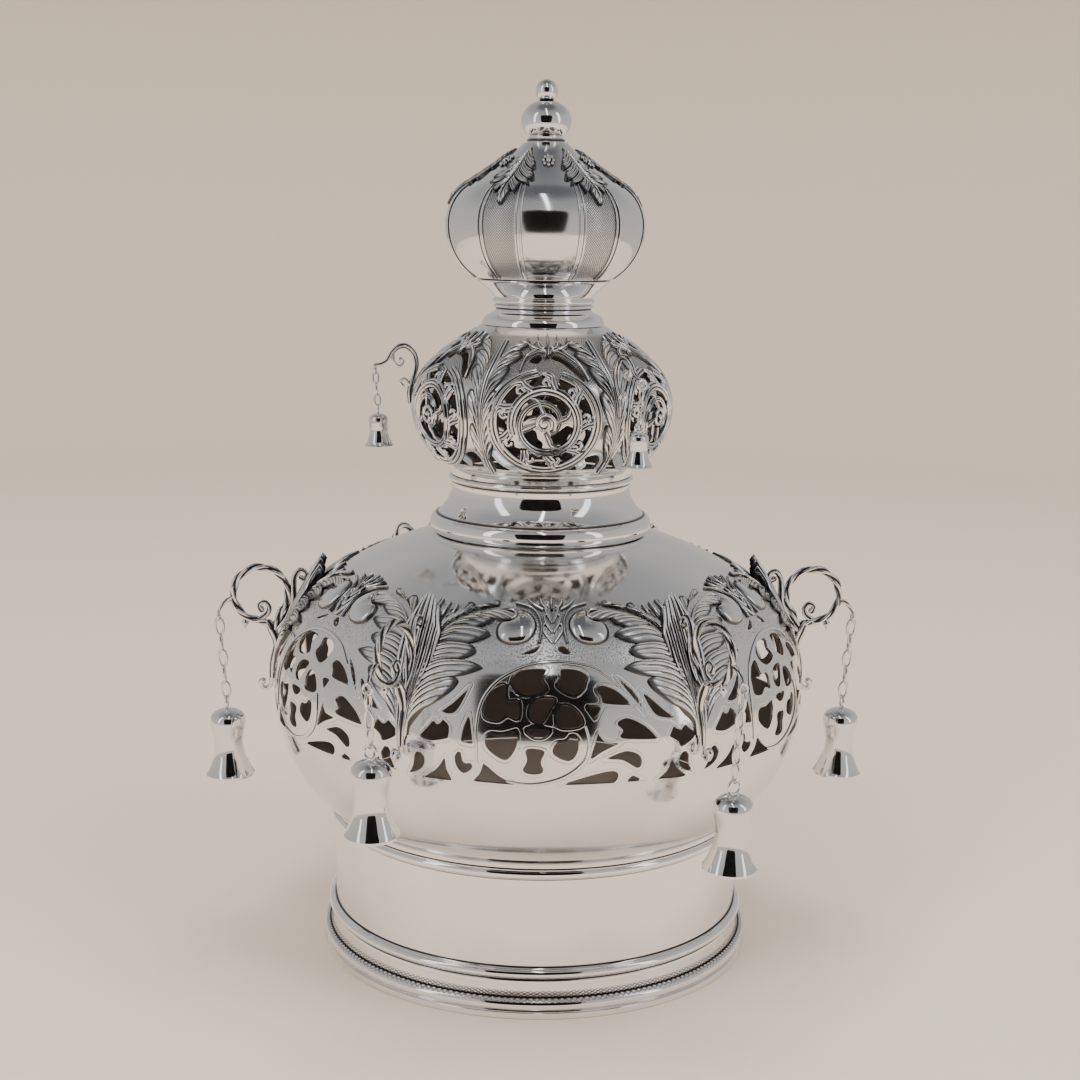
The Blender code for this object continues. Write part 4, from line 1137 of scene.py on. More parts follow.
class CROWN_OT_collar(CrownOperator, bpy.types.Operator):
    """Spins the collar with its beaded rim and the bead under the bowl"""

    bl_idname = "crown.collar"
    bl_label = "Collar"

    def execute(self, context):
        wall = self.sizes.wall / MM
        lip, rim_top, cove_top, second_top = 2.5, 7.9, 14.8, 19.4
        top_start = COLLAR_TOP - 4.3
        points = [(COLLAR_RADIUS - wall, 0), (RIM_RADIUS - 0.4, 0), (RIM_RADIUS, 0.4), (RIM_RADIUS, lip)]
        points += bead(RIM_RADIUS, lip, rim_top, RIM_RADIUS - 2.7)[1:]
        points += bend(points[-1], (87.3, 10.2), (87.4, cove_top - 0.5), 6) + [(87.1, cove_top)]
        points += bead(88.9, cove_top, second_top, COLLAR_RADIUS)[1:]
        points += [(COLLAR_RADIUS, second_top + (top_start - second_top) * share)
                   for share in (0.02, 0.25, 0.5, 0.75, 0.98)]
        points += [(COLLAR_RADIUS, top_start)] + bead(88.0, top_start, COLLAR_TOP, 85.85)[1:]
        points += [(COLLAR_RADIUS - wall, COLLAR_TOP)]
        mesh = turned(points, material("polished_silver"))
        # Painted shade in the collar's grooves and at its beads' roots
        paint_groove_shade(mesh, [(COLLAR_RADIUS, second_top), (87.1, cove_top), (COLLAR_RADIUS, top_start),
                              (RIM_RADIUS - 2.7, rim_top)])
        heights = distances_of(mesh, Outline([(RIM_RADIUS, 0), (RIM_RADIUS, COLLAR_TOP)]))
        knurl = smoothstep(heights, rim_top - 1.2, rim_top) * (1 - smoothstep(heights, 9.6, 10.6))
        add_value(mesh, "hatch", knurl)
        add_value(mesh, "inside", radii_of(mesh) < COLLAR_RADIUS - wall / 2)
        finish("collar_shell", mesh, ["base_collar"], "polished_silver")
        return {"FINISHED"}


class CROWN_OT_lower_bowl(CrownOperator, bpy.types.Operator):
    """Raises the bowl: the pierced wall and the leaves, bosses and sprays chased on it"""

    bl_idname = "crown.lower_bowl"
    bl_label = "Lower Bowl"

    def execute(self, context):
        outline = bowl_outline()
        start = outline.distance_at(BOWL_Z + BAND_START)
        low = np.concatenate([[0, 1.3], np.linspace(4, start, 14)])
        fine = np.arange(start + 2.4, start + 59.5, 1.0)
        high = np.concatenate([np.linspace(start + 61.5, outline.length - 5.0, 26),
                               [outline.length - 4.0, outline.length]])
        wall = Wall(outline, self.sizes.wall / MM, low, fine, high, columns=648, coarse=4)
        mesh = wall.mesh(piercing(CARTOUCHE + BAND_OPENINGS, start, BOWL_RADIUS))
        levels = distances_of(mesh, outline)
        band = smoothstep(levels, start + 47, start + 51) * (1 - smoothstep(levels, start + 73, start + 76))
        add_value(mesh, "ground", band)
        add_value(mesh, "lines", smoothstep(levels, start - 1, start + 3))
        finish("bowl_wall", mesh, ["lower_bowl"], "chased_silver")
        relief = Relief(outline, start, BOWL_RADIUS)
        self.leaves(relief)
        finish("bowl_relief", relief.mesh(), ["lower_bowl"], "chased_silver")
        return {"FINISHED"}

    def leaves(self, relief):
        """Acanthus beside the brackets, bosses, sprays and the crest between the tiers"""
        height = self.sizes.leaf_relief / MM
        depth = self.sizes.flute_depth
        spine = [(29.3, 19.5), (28.9, 30), (28.4, 42), (27.2, 53), (24.4, 62), (20, 68.4), (14.6, 71.6),
                 (10.0, 71.5)]
        edge = [(25.5, 30.5), (19.8, 39.8, 0.5), (21.8, 42.6), (14.8, 47.2, 0.85), (20.6, 49.6),
                (16.8, 53.4, 0.5), (19.6, 56.2), (14.2, 60.8, 0.7), (18.8, 63.2), (14.6, 67.0, 0.5),
                (16.4, 69.0), (9.4, 67.6, 0.55), (9.2, 71.4)]
        relief.leaf(spine, edge, height, 4, depth, mirror=True)
        outer = [(28.9, 34), (28.6, 47), (27.4, 57), (24.6, 65.5), (20, 72.0), (14.6, 75.0), (9.4, 75.6)]
        crest = [(29.6, 45), (29.6, 52, 0.5), (28.8, 55), (28.6, 63, 0.6), (26.6, 62), (25.9, 70.6, 0.6),
                 (23.8, 68.6), (22, 75.4, 0.6), (19.6, 73), (14.8, 77.6, 0.6), (13.8, 75.4)]
        relief.leaf(outer[:6], crest, height * 0.8, 3, depth, mirror=True, spring=0.35)
        relief.ribbon(spine[:7] + [(10.4, 73.4), (8.8, 70.4), (10, 68.6)], [1.1, 0.9, 0.8, 0.7, 0.9],
                      [1.9, 1.6, 1.4], mirror=True)
        kidney = [(-13.2, 62.6), (-12.2, 58.6), (-9.3, 57), (-6, 58.3), (-4.1, 62.5), (-3.9, 67.5),
                  (-5.6, 71.8), (-8.2, 73.6), (-8.4, 70.6), (-10.2, 67.6), (-12.6, 66.4)]
        relief.boss(kidney, 2.2, mirror=True, centre=(-7.6, 63.8))
        relief.ribbon([(-3.1, 58), (-2.7, 64), (-3.2, 70), (-5.4, 74.6), (-9.4, 76.8)], [0.9, 1.0, 0.6],
                      1.2, 2, mirror=True)
        for side, rise in ((1.6, 62), (1.3, 66.5), (1.0, 71)):
            relief.ribbon([(0.2, rise - 4), (side, rise), (side + 0.7, rise + 3.4), (side, rise + 4.6)],
                          [0.5, 1.0, 0.3], 1.0, mirror=True, count=14)
        for turn, tip in ((0, 82), (3.2, 81), (6.4, 79.4)):
            relief.ribbon([(turn * 0.35, 73.5), (turn * 0.8, 77), (turn, tip)], [0.7, 1.3, 0.2], 1.1, 2,
                          mirror=turn > 0, count=14)
        for turn, low, tip in ((30, 60, 76), (27.6, 62, 75), (25.2, 64, 74)):
            relief.ribbon([(30 - (30 - turn) * 0.5, low), (turn, (low + tip) / 2), (turn - 0.4, tip)],
                          [0.6, 1.4, 0.3], 1.2, 2, mirror=True, count=14)
        relief.ribbon([(-14.6, 12), (-14.9, 26), (-13.9, 36), (-10.6, 43.8), (-4.5, 49.4), (2.5, 50.2),
                       (8.8, 47.2), (13.2, 40.5)], [0.5, 0.8, 0.8, 0.5], 0.45, count=60)
        relief.ribbon([(-9, 5.6), (-4, 4.6), (1.6, 7.2), (5.6, 13), (6.6, 20), (5.9, 26.5)],
                      [0.4, 0.9, 0.5], 0.5, count=40)


class CROWN_OT_waist(CrownOperator, bpy.types.Operator):
    """Spins the hollow waist with its rounded flange and lip"""

    bl_idname = "crown.waist"
    bl_label = "Waist"

    def execute(self, context):
        wall = self.sizes.wall / MM
        rise = WAIST_TOP - WAIST_Z
        flange_top = WAIST_Z + 7.7
        throat = (35.4, WAIST_Z + 0.62 * rise)
        seat, lip, lip_reach = 43.4, 37.4, 38.4
        points = bead(FLANGE_RADIUS, WAIST_Z, flange_top, seat, 14)
        points += bend(points[-1], throat, (lip, WAIST_TOP - 2.6), 14)
        points += bead(lip_reach, WAIST_TOP - 2.4, WAIST_TOP, lip, 6)
        points += [(lip_reach - 2 * wall, WAIST_TOP), throat, (seat - wall, flange_top),
                   (seat - wall, WAIST_Z)]
        grooves = [(seat, flange_top), (lip, WAIST_TOP - 2.5), (seat, WAIST_Z)]
        self.spin("waist_shell", "waist", points, grooves)
        return {"FINISHED"}


# The globe's wheel: its centre in its panel, and its openings' corners as distances and angles about it
WHEEL_CENTRE = (-2, 28)
OUTER_BLADE = [(14.2, -12), (16.4, -15), (19.6, -7), (18.6, 2, 1), (19.8, 9), (16.8, 13), (14.4, 9),
               (15.6, -1, 1)]
INNER_BLADE = [(4.6, -26), (8.6, -38), (11.6, -16), (10.6, 2, 1), (11.6, 20), (8.2, 26), (6.6, 6, 1)]


class CROWN_OT_middle_globe(CrownOperator, bpy.types.Operator):
    """Raises the globe: the pierced wall, the wheels of scrolls and the leaf ribs"""

    bl_idname = "crown.middle_globe"
    bl_label = "Middle Globe"

    def execute(self, context):
        outline = globe_outline()
        start = outline.distance_at(GLOBE_Z + GLOBE_LIP)
        low = np.concatenate([[0], np.linspace(1.5, start + 3, 5)])
        fine = np.arange(start + 4, start + 60, 0.8)
        high = np.concatenate([np.linspace(start + 61.4, outline.length - 2.8, 8),
                               [outline.length - 2.4, outline.length]])
        wall = Wall(outline, self.sizes.wall / MM, low, fine, high, columns=432, coarse=3)
        mesh = wall.mesh(piercing(self.openings(), start, GLOBE_RADIUS))
        levels = distances_of(mesh, outline)
        hatch = smoothstep(levels, start + 41, start + 46) * (1 - smoothstep(levels, start + 69, start + 71))
        add_value(mesh, "hatch", hatch)
        add_value(mesh, "lines", smoothstep(levels, start + 2, start + 4))
        finish("globe_wall", mesh, ["middle_globe"], "chased_silver")
        relief = Relief(outline, start, GLOBE_RADIUS)
        self.scrolls(relief)
        finish("globe_relief", relief.mesh(), ["middle_globe"], "chased_silver")
        return {"FINISHED"}

    def on_wheel(self, places, turn=0):
        """Places of the scroll wheel from distances and angles about its centre, turned by an angle"""
        degree = math.radians(GLOBE_RADIUS)
        spots = []
        for reach, angle, *sharp in places:
            angle = math.radians(turn + angle)
            spots.append((WHEEL_CENTRE[0] + reach * math.cos(angle) / degree,
                          WHEEL_CENTRE[1] + reach * math.sin(angle), *sharp))
        return spots

    def openings(self):
        """Cusped openings between the wheel's rings, and wedges in the corners"""
        holes = [self.on_wheel(OUTER_BLADE, 20 + 40 * k) for k in range(9)]
        holes += [self.on_wheel(INNER_BLADE, 60 + 90 * k) for k in range(4)]
        holes.append([(1.5, 56.6), (8, 53.4), (16.4, 44.2, 1), (16.6, 48), (10, 56), (3, 59)])
        holes.append([(-10.5, 54.6), (-6, 53.6, 1), (-3.6, 56.6), (-5, 58.8), (-9.4, 57.4)])
        holes.append([(-27.6, 5.6, 1), (-18.6, 5.0, 1), (-24.4, 9.4), (-28.2, 16.4, 1), (-28.4, 10)])
        holes.append([(4, 6.2, 1), (15.6, 6.2, 1), (13.6, 9.2), (11.6, 12.4, 1)])
        holes.append([(17.4, 6.2, 1), (25.4, 6.2, 1), (26, 11.4), (23, 14.4), (17.6, 12.8), (19.6, 9)])
        holes.append([(-8.6, 4.4), (-4.6, 3.2), (1.0, 4.4, 1), (-1.4, 6.4), (-6.4, 6)])
        return holes

    def scrolls(self, relief):
        """Rings, cusped leaves and the spiral of each wheel, and the leaf ribs between the panels"""
        outer = self.on_wheel([(21.0, 100 + 15 * k) for k in range(23)])
        relief.ribbon(outer, [2.2, 2.6, 2.2], 1.4, 3, count=110)
        spiral = self.on_wheel([(13.0 - 0.46 * max(0, k - 12), 200 - 20 * k) for k in range(32)])
        relief.ribbon(spiral, [2.1, 2.1, 1.8, 1.4, 1.0], 1.5, 3, count=130)
        for k in range(9):
            stem = self.on_wheel([(13.4, -8), (16.5, 0), (19.0, 2), (20.4, 14)], 40 * k)
            relief.ribbon(stem, [1.7, 2.3, 1.6, 0.6], 1.3, 3, count=16)
            curl = self.on_wheel([(16.5, 0), (17.6, 9), (16, 13), (15.2, 9)], 40 * k)
            relief.ribbon(curl, [0.9, 1.0, 0.6], 1.1, count=14)
        for k in range(4):
            stem = self.on_wheel([(3.6, -10), (6.6, 0), (9.6, 4), (12.0, 20)], 15 + 90 * k)
            relief.ribbon(stem, [0.9, 1.4, 1.0, 0.5], 1.2, 2, count=16)
        button = self.on_wheel([(4.4 - 0.32 * k, -30 + 45 * k) for k in range(13)])
        relief.ribbon(button, [0.9, 0.9, 0.7], 1.5, count=60)
        relief.ribbon([(30, 4), (30, 16), (30, 30), (30, 44), (30, 56), (30, 66)],
                      [1.6, 1.1, 0.9, 1.4, 2.4, 2.0], 1.5, 3, count=44)
        rib = [(29.2, 8), (29.0, 20), (28.8, 34), (28.4, 46), (26.6, 56), (21.6, 63)]
        edge = [(26.8, 14), (24.4, 24, 0.6), (26.6, 27), (22.6, 37.5, 0.6), (25.6, 40), (19.8, 49.5, 0.6),
                (23, 51.5), (14.6, 57.5, 0.7), (19, 60), (11.6, 64.8, 0.6), (18.4, 66)]
        relief.leaf(rib, edge, 1.1, 3, self.sizes.flute_depth, mirror=True, rows=12)
        for side in (1, -1):
            curl = [(side * 1.5, 63), (side * 4, 61.4), (side * 7, 61.6), (side * 9, 63.6),
                    (side * 7.6, 65.6), (side * 5.4, 64.6)]
            relief.ribbon(curl, [0.8, 1.0, 0.6], 1.1, 2, count=24)
        relief.ribbon([(0, 56.5), (0, 60), (0, 64)], [0.5, 1.4, 0.4], 1.2, 2, count=12)
        relief.ribbon([(-14.5, 49.5), (-12.4, 57.5), (-6, 61), (-1.6, 59.4), (-2.4, 56.6)], [0.6, 1.3, 0.9],
                      1.1, 2, count=30)
        relief.ribbon([(18.4, 45), (15.6, 54), (9.4, 59.6), (3.2, 61.4), (0.8, 58.6)], [0.6, 1.4, 0.9], 1.1,
                      2, count=34)
        for turn, tip in ((0, 71), (7, 70), (14, 68)):
            relief.ribbon([(turn * 0.2, 60), (turn * 0.9, 64), (turn, tip)], [0.6, 1.5, 0.3], 1.1, 2,
                          mirror=turn > 0, count=12)


class CROWN_OT_upper_neck(CrownOperator, bpy.types.Operator):
    """Spins the grooved neck and the cup under the dome"""

    bl_idname = "crown.upper_neck"
    bl_label = "Upper Neck"

    def execute(self, context):
        wall = self.sizes.wall / MM
        foot, groove, ring = 25.0, 19.6, 20.9
        points = [(foot, NECK_Z), (foot, NECK_Z + 1.2)]
        points += bend(points[-1], (24.4, NECK_Z + 3.6), (21.4, NECK_Z + 4.6), 6)
        points += bend(points[-1], (groove, NECK_Z + 5.2), (groove, NECK_Z + 6.6), 5)
        points += bead(20.5, NECK_Z + 6.9, NECK_Z + 8.1, groove, 6)
        points += bead(ring, NECK_Z + 8.7, NECK_Z + 10.6, groove + 0.3, 8)
        points += bend((ring - 0.7, NECK_Z + 11.0), (ring + 0.8, NECK_TOP - 4.2),
                       (NECK_CUP - 0.3, NECK_TOP - 0.8), 10)
        points += [(NECK_CUP, NECK_TOP - 0.4), (NECK_CUP - 0.1, NECK_TOP)]
        points += [(NECK_CUP - 1.6 * wall, NECK_TOP), (groove - wall, NECK_Z + 10),
                   (groove - wall, NECK_Z + 5), (foot - 1.6 * wall, NECK_Z)]
        grooves = [(groove, NECK_Z + 6.7), (groove + 0.1, NECK_Z + 8.4), (ring - 0.7, NECK_Z + 11.0)]
        self.spin("neck_shell", "upper_neck", points, grooves, steps=128)
        return {"FINISHED"}


class CROWN_OT_onion_dome(CrownOperator, bpy.types.Operator):
    """Raises the onion dome: its shell, ribs, hanging leaves and rosettes"""

    bl_idname = "crown.onion_dome"
    bl_label = "Onion Dome"

    def execute(self, context):
        wall = self.sizes.wall / MM
        outer = dome_outline()
        points = outer + [(0, DOME_TOP), (0, DOME_TOP - wall)] + dome_outline(wall)[::-1]
        outline = Outline(outer)
        mesh = turned(points, material("chased_silver"), steps=240)
        levels = distances_of(mesh, outline)
        ends = smoothstep(levels, 1.5, 3) * (1 - smoothstep(levels, 52, 58))
        hatch = smoothstep(np.abs(azimuths_of(mesh)), 19.5, 20.5) * ends
        add_value(mesh, "hatch", hatch)
        finish("dome_shell", mesh, ["onion_dome"], "chased_silver")
        relief = Relief(outline, 0.0, DOME_RADIUS)
        for turn in (16.6, 19.6):
            relief.ribbon([(turn, 1.5), (turn, 12), (turn, 24), (turn, 36), (turn * 1.02, 45)], 0.5, 0.6,
                          mirror=True, count=30)
        spine = [(29.8, 70), (29.6, 64), (29.4, 57), (29.2, 50), (29.4, 43), (29.8, 37)]
        edge = [(24, 66), (13.5, 58.5, 0.6), (18, 56), (11.8, 49.5, 0.6), (17.8, 48.8), (14.6, 44.8, 0.5),
                (20.8, 46.2), (22.2, 40.2, 0.5), (25.4, 42), (29.0, 34.4, 0.8), (29.9, 37)]
        relief.leaf(spine, edge, 1.5, 4, self.sizes.flute_depth, mirror=True, rows=13, spring=0.4)
        self.rosette(relief, (0, 61.5))
        finish("dome_relief", relief.mesh(), ["onion_dome"], "chased_silver")
        return {"FINISHED"}

    def rosette(self, relief, centre):
        """A ring of round petals about a button, over each plain panel"""
        stretch = 1.45 / relief.degree
        for petals, ring, size, height in ((8, 2.9, 1.05, 1.2), (1, 0.0, 1.7, 1.9)):
            for k in range(petals):
                turn = 2 * math.pi * k / petals
                middle = (centre[0] + ring * math.cos(turn) * stretch, centre[1] + ring * math.sin(turn))
                loop = [(middle[0] + size * math.cos(t) * stretch, middle[1] + size * math.sin(t))
                        for t in np.radians(np.arange(0, 360, 45))]
                relief.boss(loop, height, centre=middle, rows=6)


class CROWN_OT_finial(CrownOperator, bpy.types.Operator):
    """Spins the ball, neck and knob that end the crown"""

    bl_idname = "crown.finial"
    bl_label = "Finial"

    def execute(self, context):
        half, knob = 8.3, 4.5
        neck = (2.7, FINIAL_Z + 16.5)
        points = [(0, FINIAL_Z), (7.4, FINIAL_Z), (7.9, FINIAL_Z + 0.7)]
        points += [(FINIAL_BALL * math.cos(t), FINIAL_Z + half + half * math.sin(t))
                   for t in np.radians(np.linspace(-50, 66, 22))]
        points += [(3.4, FINIAL_Z + 16.0), neck]
        points += arc((0, FINIAL_TOP - knob), knob, -50, 90, 14)
        grooves = [(7.6, FINIAL_Z + 0.5), neck]
        self.spin("finial_turning", "finial", points, grooves, closed=False, steps=72, reach=0.8)
        return {"FINISHED"}


class CROWN_OT_large_brackets(CrownOperator, bpy.types.Operator):
    """Casts the six scroll brackets of the bowl"""

    bl_idname = "crown.large_brackets"
    bl_label = "Large Brackets"

    def execute(self, context):
        outline = bowl_outline()
        spring = spring_point()
        foot = [tuple(outline.lifted(outline.distance_at(spring[1] - drop), GAP + 1.2))
                for drop in (22, 14.3, 6.5)]
        parts = [rod(foot + stepped(spring, [(0, 0), (1.8, 3.4)]), 30, (0, 0.1, 0.55, 0.86, 1),
                     (1.0, 1.4, 1.5, 2.4, 1.8), 20, 4, 0.06, 0.32)]
        curl = stepped(foot[0], [(0, 1), (0.9, -2.6), (3.6, -3.2), (4.6, -0.8), (3.4, -0.2)])
        parts.append(rod(curl, 18, (0, 0.7, 1), (1.1, 1.0, 1.5)))
        centre = (spring[0] + SCROLL_AT[0], spring[1] + SCROLL_AT[1])
        ring = [(spring[0] - 0.6, spring[1])] + arc(centre, SCROLL_RADIUS, 222, -92, 26)
        ring = smooth(ring + stepped(spring, [(1.8, 2.8)]), 64)
        pulse = 1.5 * (1 + 0.22 * np.abs(np.sin(np.linspace(0, 7 * math.pi, 64))))
        parts.append(tube(ring, pulse, 24, 3, 0.75, 0.42))
        low = (centre[0] + 1.2, centre[1] - SCROLL_RADIUS)
        volute = stepped(low, [(0, 0), (-3.8, 2.6), (-4.6, 5.6), (-2.8, 7.8), (-0.6, 6.6), (-1.6, 4.6)])
        parts.append(rod(volute, 26, (0, 0.6, 0.85, 1), (1.4, 1.1, 1.0, 1.6), 16, 3, 0.2, 0.36))
        branch = stepped(spring, [(-0.4, -0.6), (-5.6, 5), (-8.6, 12), (-8.9, 18.4), (-9.4, 22.8),
                                  (-11.6, 25.6), (-14.2, 24.4), (-13.8, 21.8), (-12.2, 22.4)])
        parts.append(rod(branch, 36, (0, 0.3, 0.8, 0.93, 1), (1.3, 1.6, 1.3, 1.0, 1.5), 16, 3, 0.15, 0.36))
        eye = large_eye()
        hook = stepped(centre, [(SCROLL_RADIUS, -1.6), (14.4, -3.2)])
        hook += stepped(eye, [(-1.2, 4.1), (0, EYE_RADIUS)])
        parts.append(rod(hook, 16, (0, 1), (1.1, 0.6), 10, 3, 0.9, 0.2))
        bud = stepped(centre, [(5.6, -9.6), (6.6, -12.4), (6.8, -14.6)])
        parts.append(rod(bud, 10, (0, 0.3, 0.6, 1), (0.8, 1.0, 1.7, 0.4)))
        parts.append(eye_ring(eye, EYE_RADIUS, EYE_WIRE))
        parts.append(self.palmette(outline))
        self.cast(parts, PLACES, "scroll_", "bracket_")
        return {"FINISHED"}

    def palmette(self, outline):
        """The fluted leaf that rises from the band behind the stem and curls over at its tip"""
        rows, columns = 40, 57
        start = outline.distance_at(BOWL_Z + BAND_START)
        share = np.linspace(0, 1, rows)[:, None]
        across = np.linspace(-1, 1, columns)[None]
        half_width = np.interp(share, (0, 0.1, 0.35, 0.65, 0.88, 1), (1.6, 2.2, 5.2, 8.4, 9.2, 6.2))
        wave = np.abs(np.cos(across * math.pi * 3.5)) ** 0.75
        rise = 18 + 50 * share - 4.5 * across ** 2 * share + 2.6 * wave * share ** 6
        degree = math.radians(BOWL_RADIUS)
        dome = np.sqrt(np.clip(1 - 0.85 * across ** 2, 0, 1))
        curl = np.clip((share - 0.45) / 0.55, 0, 1)
        lift = GAP + 0.25 + (0.8 + 1.5 * share) * dome * (0.3 + 0.7 * wave) + 6.5 * curl ** 2 * dome
        dark = np.clip(1.15 - 1.5 * wave, 0, 1) * np.ones_like(share)
        turns = across * half_width / degree
        top = outline.place_on(turns, start + rise, lift)
        base = outline.place_on(turns, start + rise, GAP + np.clip(lift - GAP - 3.2, 0, 9))
        grid = np.arange(rows * columns).reshape(rows, columns)
        quads = np.stack([grid[:-1, :-1], grid[:-1, 1:], grid[1:, 1:], grid[1:, :-1]], -1).reshape(-1, 4)
        ring = np.concatenate([grid[0], grid[1:, -1], grid[-1, -2::-1], grid[-2:0:-1, 0]])
        size = rows * columns
        sides = np.stack([np.roll(ring, -1), ring, ring + size, np.roll(ring, -1) + size], -1)
        points = np.vstack([top.reshape(-1, 3), base.reshape(-1, 3)])
        faces = np.vstack([quads, quads[:, ::-1] + size, sides]).tolist()
        # The leaf's underside is darkened all over: painted shade under the leaf
        oxide_and_shade_mask = np.concatenate([dark.ravel(), np.ones(size)])
        return mesh_from(points, faces, {"oxide_and_shade_mask": oxide_and_shade_mask}, sharp=60)


class CROWN_OT_small_brackets(CrownOperator, bpy.types.Operator):
    """Casts the three hooks of the globe"""

    bl_idname = "crown.small_brackets"
    bl_label = "Small Brackets"

    def execute(self, context):
        foot = hook_foot()
        top = (foot[0], foot[1] + SMALL_HOOK_RISE)
        eye = small_eye()
        hook = stepped(foot, [(0, 0), (0, 4.5), (-1.1, 8.5), (-2.4, 12.5)])
        hook += stepped(top, [(-2.8, -6.5), (-1.6, -2.6), (1.2, 0), (4.4, -0.2), (7.2, -2.6), (9.4, -6),
                              (12.2, -7.4)])
        hook += stepped(eye, [(0, EYE_RADIUS)])
        parts = [rod(hook, 60, (0, 0.1, 0.7, 1), (0.7, 1.2, 1.15, 0.6), 18, 4, 0.25, 0.34)]
        curl = stepped(top, [(6.9, -2.4), (6.6, -6), (4.2, -8.2), (2.6, -6.2), (3.8, -5.2)])
        parts.append(rod(curl, 20, (0, 0.8, 1), (0.85, 0.6, 0.9)))
        low = stepped(foot, [(-0.6, 6.6), (1.8, 9.6), (3.8, 8.6), (2.6, 6.9)])
        parts.append(rod(low, 16, (0, 0.8, 1), (0.8, 0.6, 0.8)))
        parts.append(eye_ring(eye, EYE_RADIUS, EYE_WIRE))
        self.cast(parts, GLOBE_PLACES, "hook_", "small_bracket_")
        return {"FINISHED"}


def hanging_places():
    """Size prefix, name, azimuth, eye, number of links and share of size of every chain"""
    places = []
    for name, azimuth in PLACES.items():
        count = SHORT_CHAIN if name == "front_left" else LONG_CHAIN
        places.append(("", name, azimuth, large_eye(), count, 1.0))
    for name in GLOBE_PLACES:
        places.append(("small_", name, PLACES[name], small_eye(), SMALL_CHAIN, SMALL_SHARE))
    return places


def chain_sizes(share):
    """Wire, pitch and half-sizes of a chain's links, in millimetres"""
    sizes = bpy.context.scene.crown_sizes
    wire = sizes.link_wire / MM * share
    length = sizes.link_length / MM * share
    width = sizes.link_width / MM * share
    return wire, length - 3 * wire + 0.2 * share, length / 2 - wire, width / 2 - wire


def chain_level(eye, wire):
    """The height at which a chain starts in the ring that carries it"""
    return eye[1] - EYE_RADIUS + EYE_REST + GAP + wire / 2


class CROWN_OT_chains(CrownOperator, bpy.types.Operator):
    """Hangs the chains from their brackets"""

    bl_idname = "crown.chains"
    bl_label = "Chains"

    def execute(self, context):
        bright = material("wire_silver")
        for prefix, name, azimuth, eye, count, share in hanging_places():
            wire, pitch, half_length, half_width = chain_sizes(share)
            mesh = tree("chain").run(bpy.data.meshes.new("start"),
                                     {"Links": count, "Pitch": pitch * MM, "Half length": half_length * MM,
                                      "Half width": half_width * MM, "Wire": wire * MM, "Material": bright})
            mesh.shade_smooth()
            place = spot(eye[0], chain_level(eye, wire), azimuth)
            hung = turned_round(outward(mesh), azimuth, CHAIN_LEAN, place)
            finish(prefix + "links_" + name, hung, [prefix + "chain_" + name], "wire_silver")
        return {"FINISHED"}


class CROWN_OT_bells(CrownOperator, bpy.types.Operator):
    """Turns the bells with the rings that they hang by"""

    bl_idname = "crown.bells"
    bl_label = "Bells"

    def execute(self, context):
        wall = self.sizes.bell_wall / MM
        large = self.bell(29.0, 10.3, 7.6, 6.2, wall, 2.7, 0.6)
        small = self.bell(13.4, 5.85, 3.95, 3.75, wall * 0.875, 1.8, 0.41)
        lean = math.radians(CHAIN_LEAN)
        for prefix, name, azimuth, eye, count, share in hanging_places():
            wire, pitch, half_length, _ = chain_sizes(share)
            drop = (count - 1) * pitch + 2 * half_length - wire - GAP
            level = chain_level(eye, wire) - drop * math.cos(lean)
            place = spot(eye[0] - drop * math.sin(lean), level, azimuth)
            mesh = turned_round(small if prefix else large, azimuth, BELL_LEAN, place)
            finish(prefix + "turned_bell_" + name, mesh, [prefix + "bell_" + name], "polished_silver")
        return {"FINISHED"}

    def bell(self, height, mouth, crown, middle, wall, loop, wire):
        """A bell whose origin is its ring's top wire: a domed crown, a waist and a flared mouth"""
        top = -2 * loop + 0.1
        rows = ((crown * 0.98, 0.16), (crown, 0.22), (middle * 1.02, 0.42), (middle, 0.56),
                (middle * 1.13, 0.72), (mouth * 0.88, 0.9))
        side = [tuple(p) for p in smooth([(radius, top - height * drop) for radius, drop in rows], 26)]
        cap = [(crown * 0.98 * math.sin(t), top - height * 0.16 * (1 - math.cos(t)))
               for t in np.radians(np.linspace(0, 80, 9))]
        lip = [(mouth * 0.97, top - height * 0.955), (mouth, top - height * 0.97), (mouth, top - height)]
        inner = [(r - wall, z) for r, z in side[3::5]][::-1]
        points = cap + side + lip + [(mouth - wall, top - height)] + inner + [(0, top - 1.6 * wall)]
        shell = turned(points, material("polished_silver"), closed=False, steps=48)
        add_value(shell, "oxide_and_shade_mask", [BELL_TARNISH] * len(shell.vertices))
        ring = eye_ring((0, -loop), loop, wire)
        return joined([shell, ring])


# The studio

# The heights in metres that its cards and its lamps face
CARD_AIM, LAMP_AIM = 0.15, 0.18

# Each lamp's place and size in metres and its power in watts
LAMPS = (("key_soft", (-1.1, -1.3, 1.9), (1.0, 1.0), 30), ("fill_soft", (1.3, -0.9, 1.7), (1.0, 1.0), 22),
         ("top_soft", (0.0, 0.2, 2.3), (1.6, 1.6), 34))
LAMP_COLOUR = (1.0, 0.97, 0.93)

# The tent's colours from the floor up, and the even light of the surroundings
TENT_FLOOR, TENT_SIDE = (0.62, 0.57, 0.51), (0.53, 0.52, 0.51)
TENT_HIGH, TENT_TOP = (0.34, 0.34, 0.345), (0.12, 0.125, 0.135)
WORLD_COLOUR, WORLD_STRENGTH = (0.66, 0.63, 0.6, 1), 0.8

# Where the camera stands in metres, how it is turned in degrees, and its lens in millimetres
CAMERA_DISTANCE, CAMERA_HEIGHT = 0.7125, 0.3026
CAMERA_TURN, CAMERA_PITCH, CAMERA_ROLL = 3.3, 10.39, 0.87
CAMERA_LENS = 57.43


